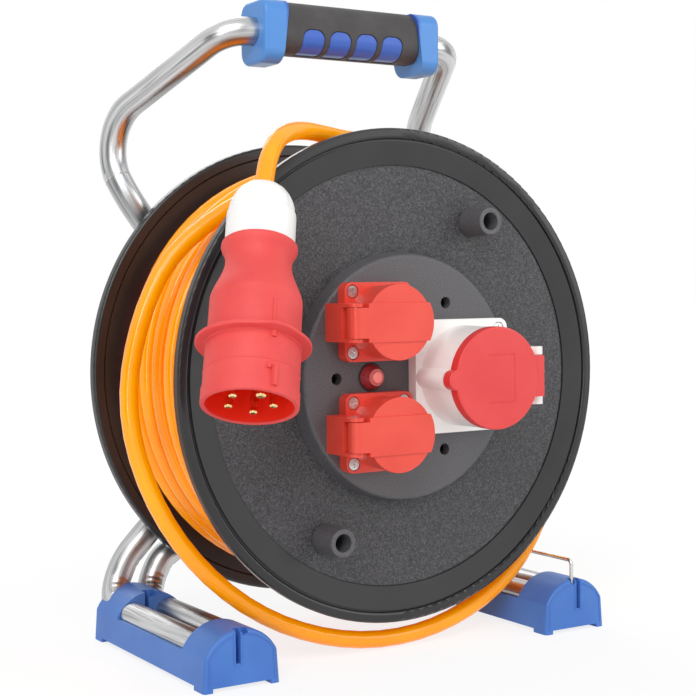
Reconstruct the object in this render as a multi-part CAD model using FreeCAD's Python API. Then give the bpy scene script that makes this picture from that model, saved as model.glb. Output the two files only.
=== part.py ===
import FreeCAD, Part
import math
import os

# Extension cable reel on a tubular steel stand, sizes in millimetres.
# X runs to the right, Y to the rear, Z up from the floor. The sizes along Y are measured from the
# outer face of the front flange's rim; at the end the whole reel is moved so that the origin lies on
# the floor under the middle of the reel without its cable.

vec = FreeCAD.Vector
full_turn = 360
half_share = 0.5

# Clearances
fit_gap = 0.05
seat_gap = 0.3
open_gap = 0.6
overrun = 5

# Drum
flange_radius = 155
drum_width = 134
floor_gap = 19.4
axle_height = flange_radius + floor_gap
rim_depth = 8
rim_height = 7
rim_round = 2.2
rim_groove_width = 1.2
rim_groove_depth = 1.4
dish_step = 0.8
dish_rise = 2.2
web_edge_width = 22.7
web_radius = flange_radius - web_edge_width
web_setback = 4
web_thickness = 3
core_radius = 80
core_wall = 2.5
opening_radius = 72
lug_length = 26
lug_width = 16

# Socket panel on the front flange
panel_radius = 76.2
panel_base_radius = 78
panel_height = 11.7
panel_wall = 3
panel_round = 2.4
panel_screw_circle = 53.5
panel_screw_angles = (59, 179, 299)
panel_front = web_setback - panel_height

# Hand knob posts on the front flange
post_place_share = 0.62615
post_reach = web_radius - panel_base_radius
post_circle = panel_base_radius + post_place_share * post_reach
post_angles = {"upper": 60, "lower": 240}
post_base_radius = 9.5
post_tip_radius = 8.6
post_bore_radius = 5.4
post_height = 22

# Screws
screw_head_radius = 3.6
screw_head_height = 2
screw_sink = 0.4
screw_shank_radius = 1.6
screw_length = 14
screw_recess_width = 0.9
screw_recess_length = 4.4
screw_recess_depth = 1.1
screw_rim_gap = 0.5

# Flap outlets
outlet_offset_x = -28
outlet_offset_z = 33.6
outlet_lift = 1.7
outlet_size = 48
outlet_corner = 5
outlet_plate = 8
outlet_collar_radius = 22
outlet_collar_length = 17.3
outlet_well_radius = 19.6
outlet_floor = 3
outlet_cup_radius = 21
outlet_cup_wall = 2.4
outlet_cup_depth = 22
outlet_screw_pitch = 36.8
outlet_pin_pitch = 19
outlet_pin_hole = 2.7
outlet_sleeve_radius = 3.2
outlet_sleeve_bore = 2.45
outlet_sleeve_length = 24
outlet_insert_length = 30
earth_clip_width = 6
earth_clip_thickness = 1.2
earth_clip_length = 13
outlet_lid_radius = 22.8
outlet_lid_plate = 3
outlet_lid_skirt = 2.4
outlet_band_width = 23
outlet_band_rise = 1
outlet_band_reach = 23.9
outlet_block_reach = 33
outlet_barrel_radius = 5
outlet_ear_thickness = 2.2
hinge_pin_radius = 1.5
spring_room_radius = 3.9
spring_room_length = 10
spring_radius = 2.8
spring_wire = 0.8
spring_turns = 5
spring_pitch = 1.6

# Five-pole socket
pole_offset_x = 34.5
pole_size = 71
pole_corner = 6
pole_plate = 8
pole_base_radius = 31.8
pole_front_radius = 31
pole_barrel_length = 29.9
pole_well_radius = 28.5
pole_floor = 4
pole_well_depth = 41
pole_cup_radius = 29.5
pole_cup_wall = 2.5
pole_cup_depth = 28
pole_rib_radius = 6.5
pole_rib_center = 29
pole_insert_radius = 22.5
pole_insert_setback = 7.6
pole_insert_tail = 20
pole_count = 5
pole_contact_circle = 13
pole_contact_radius = 3.1
pole_contact_bore = 2.6
pole_contact_length = 48
pole_contact_setback = 1.5
pole_screw_pitch = 58
pole_lid_radius = 31.5
pole_lid_plate = 3
pole_lid_skirt = 2.5
pole_lid_depth = 7
pole_lid_round = 1
pole_nose_radius = 6.3
pole_nose_center = 30.2
pole_hinge_reach = 36.5
pole_hinge_drop = 2.6
pole_lug_radius = 4.5
pole_lug_thickness = 5
pole_knuckle_radius = 4.4
pole_spring_room = 3.6
pole_spring_radius = 2.5
pole_knuckle_width = 25.4
pole_seal_width = 3.9
pole_seal_depth = 3.4

# Reset button of the thermal cut-out
reset_offset_x = -29
reset_lift = 1.3
reset_base_radius = 7.9
reset_face_radius = 5.2
reset_face_height = 6.9
reset_tip_radius = 3.4
reset_height = 8.2
reset_skirt = 0.8
reset_bezel_width = 1
reset_bezel_height = 0.4
reset_stem_radius = 2.5
reset_stem_length = 8
reset_travel = 2.5
breaker_width = 28
breaker_height = 18
breaker_depth = 28

# Axle, bearing and hub plate
axle_radius = 10
axle_collar_radius = 14
axle_collar = 3
stub_radius = 8
stub_length = 19
sleeve_radius = 16
sleeve_bore = 12.5
sleeve_front = 64
bush_length = 12
bush_flange_radius = 15
bush_flange = 1.5
clip_groove = 1.4
clip_thickness = 1.6
clip_radius = 14
axle_tip = 3
hub_boss_radius = 40
hub_boss_height = 5
hub_plate_gap = 2.5
hub_plate_thickness = 4
hub_plate_width = 84
hub_plate_rise = 29.6
hub_plate_lap = 10
hub_plate_corner = 12
washer_radius = 15
washer_thickness = 2.5
nut_sides = 6
nut_radius = 13.9
nut_height = 12

# Steel tubes of the stand
tube_radius = 9
tube_wall = 1.5
tube_plane = drum_width + hub_plate_gap + axle_collar + hub_plate_thickness + tube_radius
grip_depth = drum_width * half_share + 1.4
grip_rise = 219.2
grip_height = axle_height + grip_rise
foot_center = 125
leg_spacing = 25
leg_height = 20
leg_front = -6
shoulder_x = 86
elbow_x = 129
elbow_setback = 25.5
elbow_drop = 55.6
neck_x = 120
neck_drop = 98.6
hub_bend_x = 18
hub_bend_drop = 16.4
knee_x = 124
knee_z = 50
base_knee_x = 98
base_knee_z = 47
base_bar_x = 66
base_bar_z = 68
shoulder_bend = 24
elbow_bend = 36
neck_bend = 45
hub_bend = 38
knee_bend = 40
heel_bend = 23
base_knee_bend = 20
base_bar_bend = 40
joiner_length = 60

# Feet
foot_width = 50
foot_front = -17
foot_back_inset = 6.5
foot_back = tube_plane - foot_back_inset
foot_front_saddle = 31
foot_back_saddle = 36
foot_wall_height = 19.5
foot_shoulder_height = 20
foot_peak_height = 34.8
foot_draft = 1.4
foot_trough_floor = 10.4
foot_trough_gap = 0.4
foot_pad_length = 13
foot_pad_width = 6
foot_pad_height = 2.5
foot_round = 2.5
foot_shoulder_round = 4
slot_offset = 2.6
slot_width = 3
slot_depth = 6
slot_bottom = 15
foot_screw_head = 4
foot_screw_head_height = 2.4
foot_screw_radius = 2
foot_screw_length = 7.6
foot_screw_inset = 40

# Wire bail on the right foot
bail_wire = 1.3
bail_offset = -0.6
bail_setback = 3
bail_top_height = 47
bail_leg_end = 26
bail_travel = 10
bail_bend = 3.4
bail_hole_gap = 0.06
bail_pocket_width = 4.6
bail_pocket_height = 3.6
bail_bend_room = 0.7

# Grip
grip_length = 133.6
grip_body_height = 33
grip_body_depth = 31
grip_body_round = 12
grip_body_lift = 3.2
grip_collar_height = 40.5
grip_collar_depth = 34
grip_collar_round = 9
grip_collar_end = 10
grip_core_height = 27
grip_core_depth = 25
grip_core_round = 9
grip_seam_top = 46
grip_seam_bottom = 56
grip_seam_gap = 0.2
finger_pitch = 20
finger_count = 4
finger_width = 15.6
finger_height = 15
finger_round = 6
finger_gap = 0.35
finger_drop = 1.2
grip_screw_pitch = 106
grip_screw_length = 12
grip_screw_sink = 5

# Terminal block and strain relief in the drum
terminal_width = 40
terminal_height = 28
terminal_depth = 20
terminal_offset = 24
terminal_way_count = 5
terminal_way_size = 4.5
gland_radius = 9
gland_length = 18
gland_angle = -50
gland_setback = 22

# Cable
cable_radius = 5.5
cable_pitch = 11.5
layer_sink = 35
layer_radius = flange_radius - layer_sink
layer_first_y = 13.6
layer_last_gap = 21.5
layer_turns = (drum_width - layer_first_y - layer_last_gap) / cable_pitch
climb_turns = 0.5
climb_height = 13.5
climb_drift = 2
upper_turns = 4.18
upper_pitch_share = 0.134328
upper_pitch = drum_width * upper_pitch_share
end_lift = 5.5
end_lift_turns = 0.4
end_angle = 104
winding_skin = 0.3
last_run = 44
tube_bend_share = 0.45
arcs_per_turn = 4

# Points of the loose cable between the plug and the winding, chosen by hand: a short arch over the
# rim of the front flange, then one loose turn round the drum, behind that flange. Each is given by its
# shares of the flange's radius across, of the drum's width from the rim, and of the flange's radius
# above the axle.
loose_point_shares = [
    (-0.69097, -0.13731, 0.7871),
    (-0.62, -0.06716, 0.89935),
    (-0.53806, 0.00373, 0.95355),
    (-0.41935, 0.08582, 0.98065),
    (-0.27613, 0.16045, 0.97548),
    (-0.1129, 0.22388, 0.96065),
    (0.18065, 0.25746, 0.9671),
    (0.57419, 0.24627, 0.81355),
    (0.89032, 0.22388, 0.45419),
    (1.00645, 0.20149, -0.01742),
    (0.91613, 0.16418, -0.48774),
    (0.66452, 0.12313, -0.88258),
    (0.24968, 0.10597, -1.07871),
    (-0.21161, 0.11194, -1.0871),
    (-0.64129, 0.16791, -0.91677),
    (-0.96129, 0.23881, -0.57806),
    (-1.10839, 0.30224, -0.13677),
    (-1.02903, 0.3209, 0.27484),
    (-0.83548, 0.31343, 0.58452),
]

# Plug: origin at the top of its gland nut, its axis pointing down, forward and to the left
plug_top_shares = (-0.708387, -0.164179, 0.729677)
plug_axis_shares = (-0.2724, -0.3598, -0.8924)
plug_spin = 107
nut_tip_radius = 10.5
nut_dome_length = 25
plug_nut_radius = 19.8
plug_nut_length = 34.5
plug_nut_bore = 5.8
plug_nut_cavity = 16.6
plug_nut_top = 12
nut_rib_count = 8
nut_rib_radius = 1.1
seal_length = 10
neck_radius = 16
neck_wall = 2.5
plug_rim_radius = 21.3
plug_rim_length = 3.5
plug_waist_radius = 18.6
plug_body_radius = 25.7
plug_shoulder_at = 72
plug_collar_at = 97.5
plug_collar_radius = 32
plug_collar_thickness = 2
plug_shroud_radius = 26.3
plug_mouth_radius = 26.8
plug_mouth_band = 9.5
plug_mouth_step = 1.5
plug_length = 134.4
plug_shroud_wall = 2.3
plug_face_at = 104
plug_insert_length = 20
pin_circle = 13
pin_radius = 2.4
earth_pin_radius = 3
pin_length = 28.9
pin_tail = 14
key_width = 4.4
key_height = 1.8
key_start = 119
key_end = 131

# Waist of the plug, from its rim to its shoulder: shares of the way from the waist's radius to the
# body's, and shares of the way along
plug_waist_shares = [
    (0.155, 0.103),
    (0, 0.262),
    (0.07, 0.435),
    (0.38, 0.647),
    (0.732, 0.824),
]

nodes = {}


def add(name, shape):
    nodes[name] = shape


# Basic forms

def block(low, high):
    return Part.makeBox(high[0] - low[0], high[1] - low[1], high[2] - low[2], vec(*low))


def rod(radius, start, end):
    return Part.makeCylinder(radius, (end - start).Length, start, end - start)


def pipe(outer, inner, start, end):
    way = (end - start).normalize() * overrun
    return rod(outer, start, end).cut(rod(inner, start - way, end + way))


def cone(start_radius, end_radius, start, end):
    return Part.makeCone(start_radius, end_radius, (end - start).Length, start, end - start)


def along_y(x, z, front, back):
    return vec(x, front, axle_height + z), vec(x, back, axle_height + z)


def rounded(shape, radius, chosen):
    edges = [edge for edge in shape.Edges if chosen(edge)]
    return shape.makeFillet(radius, edges).Solids[0]


def runs_along(edge, axis):
    if edge.Curve.TypeId != "Part::GeomLine":
        return False
    return abs(abs(edge.tangentAt(edge.FirstParameter).dot(axis)) - 1) < fit_gap


def circle_at(edge, y, radius):
    if edge.Curve.TypeId != "Part::GeomCircle":
        return False
    same_level = abs(edge.Curve.Center.y - y) < fit_gap
    return same_level and abs(edge.Curve.Radius - radius) < fit_gap


def rounded_plate(x, z, width, height, corner, front, back):
    low = (x - width / 2, front, axle_height + z - height / 2)
    high = (x + width / 2, back, axle_height + z + height / 2)
    plate = block(low, high)
    return rounded(plate, corner, lambda edge: runs_along(edge, vec(0, 1, 0)))


def spun(outline, x=0, z=0):
    points = [vec(x + radius, y, axle_height + z) for radius, y in outline]
    face = Part.Face(Part.makePolygon(points + [points[0]]))
    return face.revolve(vec(x, 0, axle_height + z), vec(0, 1, 0), full_turn)


def joined(shapes):
    return shapes[0].multiFuse(shapes[1:]).removeSplitter()


def bent_path(points, radii):
    """Straight runs joined by tangent arcs, one radius for each inner point."""
    edges = []
    start = points[0]
    for before, corner, after, radius in zip(points, points[1:], points[2:], radii):
        inward = (corner - before).normalize()
        outward = (after - corner).normalize()
        half_turn = inward.getAngle(outward) / 2
        reach = radius * math.tan(half_turn)
        arc_start = corner - inward * reach
        arc_end = corner + outward * reach
        middle_way = (outward - inward).normalize()
        middle = corner + middle_way * (radius / math.cos(half_turn) - radius)
        edges.append(Part.LineSegment(start, arc_start).toShape())
        edges.append(Part.Arc(arc_start, middle, arc_end).toShape())
        start = arc_end
    edges.append(Part.LineSegment(start, points[-1]).toShape())
    return Part.Wire(edges)


def swept(path, radius):
    first = path.OrderedEdges[0]
    start = first.valueAt(first.FirstParameter)
    way = first.tangentAt(first.FirstParameter)
    circle = Part.Wire(Part.Circle(start, way, radius).toShape())
    return path.makePipeShell([circle], True, False)


def hollow_tube(path):
    return swept(path, tube_radius).cut(swept(path, tube_radius - tube_wall))


def mirrored_x(shape):
    return shape.mirror(vec(0, 0, 0), vec(1, 0, 0))


def arc_middle(start, way, end):
    """Point half way along the arc that leaves start along way and reaches end."""
    chord = end - start
    angle = way.getAngle(chord)
    side = way - chord * (way.dot(chord) / chord.dot(chord))
    if side.Length < fit_gap * fit_gap:
        return (start + end) / 2
    return (start + end) / 2 + side.normalize() * (chord.Length / 2 * math.tan(angle / 2))


def biarc(start, way_out, end, way_in):
    """Two arcs, tangent to each other, that leave start along way_out and reach end along way_in."""
    span = end - start
    ways = way_out + way_in
    bend = 2 * (1 - way_out.dot(way_in))
    along = span.dot(ways)
    reach = (math.sqrt(along * along + 2 * bend * span.dot(span) / 2) - along) / bend
    meeting = (start + end + (way_out - way_in) * reach) / 2
    first = Part.Arc(start, arc_middle(start, way_out, meeting), meeting).toShape()
    back = arc_middle(end, way_in * -1, meeting)
    second = Part.Arc(meeting, back, end).toShape()
    return [first, second]


def coiled_path(point_at, turns, steps_per_turn, straight):
    """Biarcs along point_at(turn), with a straight piece before and after."""
    count = math.ceil(turns * steps_per_turn)
    step = turns / count
    nudge = step / 100
    places = [point_at(index * step) for index in range(count + 1)]
    ways = []
    for index in range(count + 1):
        late = point_at(index * step + nudge)
        early = point_at(index * step - nudge)
        ways.append((late - early).normalize())
    edges = [Part.LineSegment(places[0] - ways[0] * straight, places[0]).toShape()]
    for index in range(count):
        edges += biarc(places[index], ways[index], places[index + 1], ways[index + 1])
    last = places[-1] + ways[-1] * straight
    edges.append(Part.LineSegment(places[-1], last).toShape())
    return Part.Wire(edges), last, ways[-1]


def cross_screw(head, way, length, head_radius=screw_head_radius):
    """Pan head screw with a cross recess; head is the middle of its outer face."""
    shank_start = head + way * screw_head_height
    body = rod(head_radius, head, shank_start)
    body = body.fuse(rod(screw_shank_radius, shank_start, head + way * length))
    across = vec(0, 0, 1) if abs(way.z) < half_share else vec(1, 0, 0)
    side = way.cross(across)
    for long_way, short_way in ((across, side), (side, across)):
        corner = head - long_way * (screw_recess_length / 2) - short_way * (screw_recess_width / 2)
        slot = Part.Face(Part.makePolygon([
            corner,
            corner + long_way * screw_recess_length,
            corner + long_way * screw_recess_length + short_way * screw_recess_width,
            corner + short_way * screw_recess_width,
            corner,
        ])).extrude(way * screw_recess_depth)
        body = body.cut(slot)
    return body


# Drum

def flange_outline(inner_radius):
    rim_inner = flange_radius - rim_height
    groove_inner = rim_inner - rim_groove_width
    dish_top = web_setback - dish_rise
    inner_face = web_setback + web_thickness
    return [
        (inner_radius, web_setback),
        (web_radius, web_setback),
        (web_radius, web_setback - dish_step),
        (groove_inner, dish_top - dish_step),
        (groove_inner, dish_top - dish_step + rim_groove_depth),
        (rim_inner, dish_top - dish_step + rim_groove_depth),
        (rim_inner, 0),
        (flange_radius, 0),
        (flange_radius, rim_depth),
        (rim_inner, rim_depth),
        (groove_inner, inner_face),
        (inner_radius, inner_face),
    ]


def rim_rounded(flange, outer_face, inner_face):
    def on_rim(edge):
        for y in (outer_face, inner_face):
            if circle_at(edge, y, flange_radius):
                return True
        return circle_at(edge, outer_face, flange_radius - rim_height)
    return rounded(flange, rim_round, on_rim)


def panel_screw_places():
    places = []
    for angle in panel_screw_angles:
        x = panel_screw_circle * math.cos(math.radians(angle))
        z = panel_screw_circle * math.sin(math.radians(angle))
        places.append((x, z))
    return places


def make_flanges():
    front = rim_rounded(spun(flange_outline(opening_radius)), 0, rim_depth)
    inner_face = web_setback + web_thickness
    for angle, (x, z) in zip(panel_screw_angles, panel_screw_places()):
        low = (opening_radius - lug_length, web_setback, axle_height - lug_width / 2)
        high = (opening_radius + overrun, inner_face, axle_height + lug_width / 2)
        lug = block(low, high)
        lug.rotate(vec(0, 0, axle_height), vec(0, 1, 0), -angle)
        front = front.fuse(lug)
        pilot = rod(screw_shank_radius + fit_gap, *along_y(x, z, -overrun, inner_face + overrun))
        front = front.cut(pilot)
    add("front_flange", front.removeSplitter())
    outline = [(radius, drum_width - y) for radius, y in flange_outline(sleeve_bore)]
    back = rim_rounded(spun(outline), drum_width, drum_width - rim_depth)
    web_outer = drum_width - web_setback
    sleeve = pipe(sleeve_radius, sleeve_bore, *along_y(0, 0, sleeve_front, web_outer))
    boss = pipe(hub_boss_radius, sleeve_bore, *along_y(0, 0, web_outer, web_outer + hub_boss_height))
    ring_radius = hub_boss_radius - hub_boss_height
    recess = pipe(ring_radius, sleeve_radius + hub_boss_height, *along_y(
        0, 0, web_outer + hub_boss_height - web_thickness, web_outer + hub_boss_height + overrun))
    add("rear_flange", joined([back, sleeve, boss.cut(recess)]))


def make_core():
    inner_face = web_setback + web_thickness
    core = pipe(core_radius, core_radius - core_wall, *along_y(0, 0, inner_face, drum_width - inner_face))
    way = vec(math.cos(math.radians(gland_angle)), 0, math.sin(math.radians(gland_angle)))
    center = vec(0, drum_width - gland_setback, axle_height)
    core = core.cut(rod(gland_radius - core_wall, center, center + way * (core_radius + overrun)))
    add("drum_core", core)
    gland_end = core_radius - core_wall - fit_gap
    gland_start = center + way * (gland_end - gland_length)
    body = pipe(gland_radius, cable_radius + seat_gap, gland_start, center + way * gland_end)
    spout_end = center + way * core_radius
    spout_start = center + way * (gland_end - overrun)
    spout = pipe(gland_radius - core_wall - fit_gap, cable_radius + seat_gap, spout_start, spout_end)
    # the gland's flat ring is trimmed to the round inside of the core
    inside = rod(core_radius - core_wall - fit_gap, *along_y(0, 0, 0, drum_width))
    add("cable_gland", joined([body.common(inside), spout]))


def make_panel():
    outline = [
        (0, panel_front),
        (panel_radius, panel_front),
        (panel_base_radius, web_setback),
        (panel_base_radius - panel_wall, web_setback),
        (panel_radius - panel_wall, panel_front + panel_wall),
        (0, panel_front + panel_wall),
    ]
    panel = rounded(spun(outline), panel_round, lambda edge: circle_at(edge, panel_front, panel_radius))
    head_seat = web_setback - panel_wall
    screws = []
    for x, z in panel_screw_places():
        boss_radius = screw_head_radius + panel_wall
        panel = panel.fuse(rod(boss_radius, *along_y(x, z, panel_front + panel_wall, web_setback)))
        sink = rod(screw_head_radius + fit_gap, *along_y(x, z, panel_front - overrun, head_seat))
        pilot = rod(screw_shank_radius + fit_gap, *along_y(x, z, panel_front, web_setback + overrun))
        panel = panel.cut(sink).cut(pilot)
        head = vec(x, head_seat - screw_head_height, axle_height + z)
        screws.append(cross_screw(head, vec(0, 1, 0), screw_length))
    for side in (1, -1):
        hole = outlet_cup_radius + fit_gap
        panel = panel.cut(rod(hole, *along_y(
            outlet_offset_x, outlet_rise(side), panel_front - overrun, web_setback)))
        for x, z in outlet_screw_places(side):
            panel = panel.cut(rod(screw_shank_radius + fit_gap, *along_y(
                x, z, panel_front - overrun, web_setback)))
    panel = panel.cut(rod(pole_cup_radius + fit_gap, *along_y(
        pole_offset_x, 0, panel_front - overrun, web_setback)))
    for x, z in pole_screw_places():
        panel = panel.cut(rod(screw_shank_radius + fit_gap, *along_y(
            x, z, panel_front - overrun, web_setback)))
    panel = panel.cut(rod(reset_base_radius + open_gap, *along_y(
        reset_offset_x, reset_lift, panel_front - overrun, web_setback)))
    add("socket_panel", panel.removeSplitter())
    add("panel_screws", Part.Compound(screws))


def make_posts():
    for name, angle in post_angles.items():
        x = post_circle * math.cos(math.radians(angle))
        z = post_circle * math.sin(math.radians(angle))
        tip, base = along_y(x, z, web_setback - post_height, web_setback)
        post = cone(post_tip_radius, post_base_radius, tip, base)
        post = rounded(post, post_tip_radius - post_bore_radius - panel_round,
                       lambda edge: circle_at(edge, web_setback - post_height, post_tip_radius))
        bore_start, bore_end = along_y(x, z, web_setback - post_height - overrun, web_setback + overrun)
        add("knob_post_" + name, post.cut(rod(post_bore_radius, bore_start, bore_end)))


# Flap outlets

def outlet_rise(side):
    """Height of an outlet's middle above the axle."""
    return outlet_lift + side * outlet_offset_z


def outlet_screw_places(side):
    reach = outlet_screw_pitch / 2
    center_z = outlet_rise(side)
    places = []
    for x in (-reach, reach):
        for z in (-reach, reach):
            places.append((outlet_offset_x + x, center_z + z))
    return places


def turned_z(radius, x, y, z_low, z_high):
    return rod(radius, vec(x, y, axle_height + z_low), vec(x, y, axle_height + z_high))


def spring_coil(x, y, z, radius=spring_radius):
    """Torsion spring round a hinge pin, as one unbroken wire."""
    start_z = axle_height + z - spring_turns * spring_pitch / 2

    def place(turn):
        angle = 2 * math.pi * turn
        return vec(x + radius * math.cos(angle), y + radius * math.sin(angle),
                   start_z + spring_pitch * turn)

    path, last, way = coiled_path(place, spring_turns, arcs_per_turn, spring_wire / 2)
    return swept(path, spring_wire / 2)


def make_outlet(name, side):
    x = outlet_offset_x
    z = outlet_rise(side)
    plate_front = panel_front - outlet_plate
    collar_front = plate_front - outlet_collar_length
    pin_x = x - outlet_block_reach + outlet_barrel_radius
    pin_y = collar_front - open_gap
    lid_face = pin_y - outlet_barrel_radius - outlet_band_rise - spring_wire / 2
    half_band = outlet_band_width / 2
    inner_ear = half_band - outlet_ear_thickness
    swing = pin_y - lid_face + open_gap
    # housing: square plate, round collar, hinge block with two ears
    plate = rounded_plate(x, z, outlet_size, outlet_size, outlet_corner, plate_front, panel_front)
    collar = rod(outlet_collar_radius, *along_y(x, z, collar_front, plate_front))
    hinge = block((x - outlet_block_reach, pin_y + swing, axle_height + z - half_band),
                  (x - outlet_collar_radius + outlet_floor, panel_front, axle_height + z + half_band))
    body = joined([plate, collar, hinge])
    for z_low, z_high in ((-half_band, -inner_ear), (inner_ear, half_band)):
        ear = turned_z(outlet_barrel_radius, pin_x, pin_y, z + z_low, z + z_high)
        web = block((pin_x - outlet_barrel_radius, pin_y, axle_height + z + z_low),
                    (pin_x + outlet_barrel_radius, pin_y + swing, axle_height + z + z_high))
        body = body.fuse(ear).fuse(web)
    floor_front = plate_front + fit_gap
    floor_back = floor_front + outlet_floor
    body = body.cut(rod(outlet_well_radius, *along_y(x, z, collar_front - overrun, floor_front)))
    cavity = outlet_cup_radius - outlet_cup_wall
    body = body.cut(rod(cavity, *along_y(x, z, floor_back, panel_front + overrun)))
    body = body.cut(turned_z(hinge_pin_radius + fit_gap, pin_x, pin_y, z - half_band - overrun,
                             z + half_band + overrun))
    for pin_side in (-1, 1):
        hole_x = x + pin_side * outlet_pin_pitch / 2
        body = body.cut(rod(outlet_pin_hole, *along_y(hole_x, z, floor_front - overrun, floor_back)))
    screws = []
    head_y = plate_front + screw_sink
    for screw_x, screw_z in outlet_screw_places(side):
        sink = rod(screw_head_radius + screw_rim_gap, *along_y(
            screw_x, screw_z, collar_front, head_y + screw_head_height))
        hole = rod(screw_shank_radius + fit_gap, *along_y(
            screw_x, screw_z, plate_front, panel_front + overrun))
        body = body.cut(sink).cut(hole)
        head = vec(screw_x, head_y, axle_height + screw_z)
        screws.append(cross_screw(head, vec(0, 1, 0), screw_length))
    add(name + "_housing", body.removeSplitter())
    # contact carrier with a cup behind the panel, two contact sleeves and two earth clips
    cup_front = panel_front + fit_gap
    cup_back = panel_front + outlet_cup_depth + panel_height
    insert = rod(cavity - fit_gap, *along_y(x, z, floor_back, floor_back + outlet_insert_length))
    cup = pipe(outlet_cup_radius, cavity - outlet_cup_wall, *along_y(x, z, cup_front, cup_back))
    insert = joined([insert, cup])
    contacts = []
    for pin_side in (-1, 1):
        hole_x = x + pin_side * outlet_pin_pitch / 2
        sleeve_back = floor_back + outlet_sleeve_length
        insert = insert.cut(rod(outlet_sleeve_radius + fit_gap, *along_y(
            hole_x, z, floor_back, sleeve_back)))
        contacts.append(pipe(outlet_sleeve_radius, outlet_sleeve_bore, *along_y(
            hole_x, z, floor_back, sleeve_back)))
        clip_outer = outlet_well_radius - fit_gap - earth_clip_thickness / 2
        clip_z = axle_height + z + pin_side * clip_outer
        reach = earth_clip_thickness / 2
        contacts.append(block(
            (x - earth_clip_width / 2, floor_front - earth_clip_length, clip_z - reach),
            (x + earth_clip_width / 2, floor_front, clip_z + reach),
        ).common(rod(outlet_well_radius - fit_gap, *along_y(x, z, collar_front, floor_front))))
    add(name + "_carrier", insert)
    add(name + "_contacts", Part.Compound(contacts))
    # lid: round plate with a skirt, a raised band across it and a hinge barrel
    plate_face = lid_face + outlet_band_rise
    plate_back = plate_face + outlet_lid_plate
    skirt_back = collar_front - seat_gap
    disc = rod(outlet_lid_radius, *along_y(x, z, plate_face, plate_back))
    disc = rounded(disc, outlet_band_rise * half_share,
                   lambda edge: circle_at(edge, plate_face, outlet_lid_radius))
    skirt = pipe(outlet_lid_radius, outlet_lid_radius - outlet_lid_skirt, *along_y(
        x, z, plate_back, skirt_back))
    band_start = pin_x + outlet_barrel_radius + open_gap
    band = block((band_start, lid_face, axle_height + z - half_band),
                 (x, plate_back, axle_height + z + half_band))
    tip = block((x, lid_face, axle_height + z - half_band),
                (x + outlet_band_reach, plate_back, axle_height + z + half_band))
    tip = tip.common(rod(outlet_band_reach, *along_y(x, z, lid_face - overrun, plate_back + overrun)))
    half_strap = inner_ear - seat_gap
    strap = block((pin_x - outlet_barrel_radius, lid_face, axle_height + z - half_strap),
                  (band_start, pin_y, axle_height + z + half_strap))
    strap = rounded(strap, outlet_barrel_radius - fit_gap, lambda edge: runs_along(
        edge, vec(0, 0, 1)) and edge.CenterOfMass.y < pin_y - fit_gap and edge.CenterOfMass.x < pin_x)
    barrel = turned_z(outlet_barrel_radius, pin_x, pin_y, z - half_strap, z + half_strap)
    lid = joined([disc, skirt, band, tip, strap, barrel])
    lid = lid.cut(turned_z(hinge_pin_radius + fit_gap, pin_x, pin_y, z - half_band, z + half_band))
    room = spring_room_length / 2
    lid = lid.cut(turned_z(spring_room_radius, pin_x, pin_y, z - room, z + room))
    add(name + "_lid", lid)
    add(name + "_hinge_pin", turned_z(hinge_pin_radius, pin_x, pin_y, z - half_band, z + half_band))
    add(name + "_spring", spring_coil(pin_x, pin_y, z))
    return screws


# Five-pole socket

def pole_screw_places():
    reach = pole_screw_pitch / 2
    return [(pole_offset_x + x, z) for x in (-reach, reach) for z in (-reach, reach)]


def pole_contact_places(radius):
    """Five contacts evenly round a circle, the earth contact at the bottom."""
    places = []
    for index in range(pole_count):
        angle = math.radians(index * full_turn / pole_count - 90)
        places.append((radius * math.cos(angle), radius * math.sin(angle)))
    return places


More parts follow.
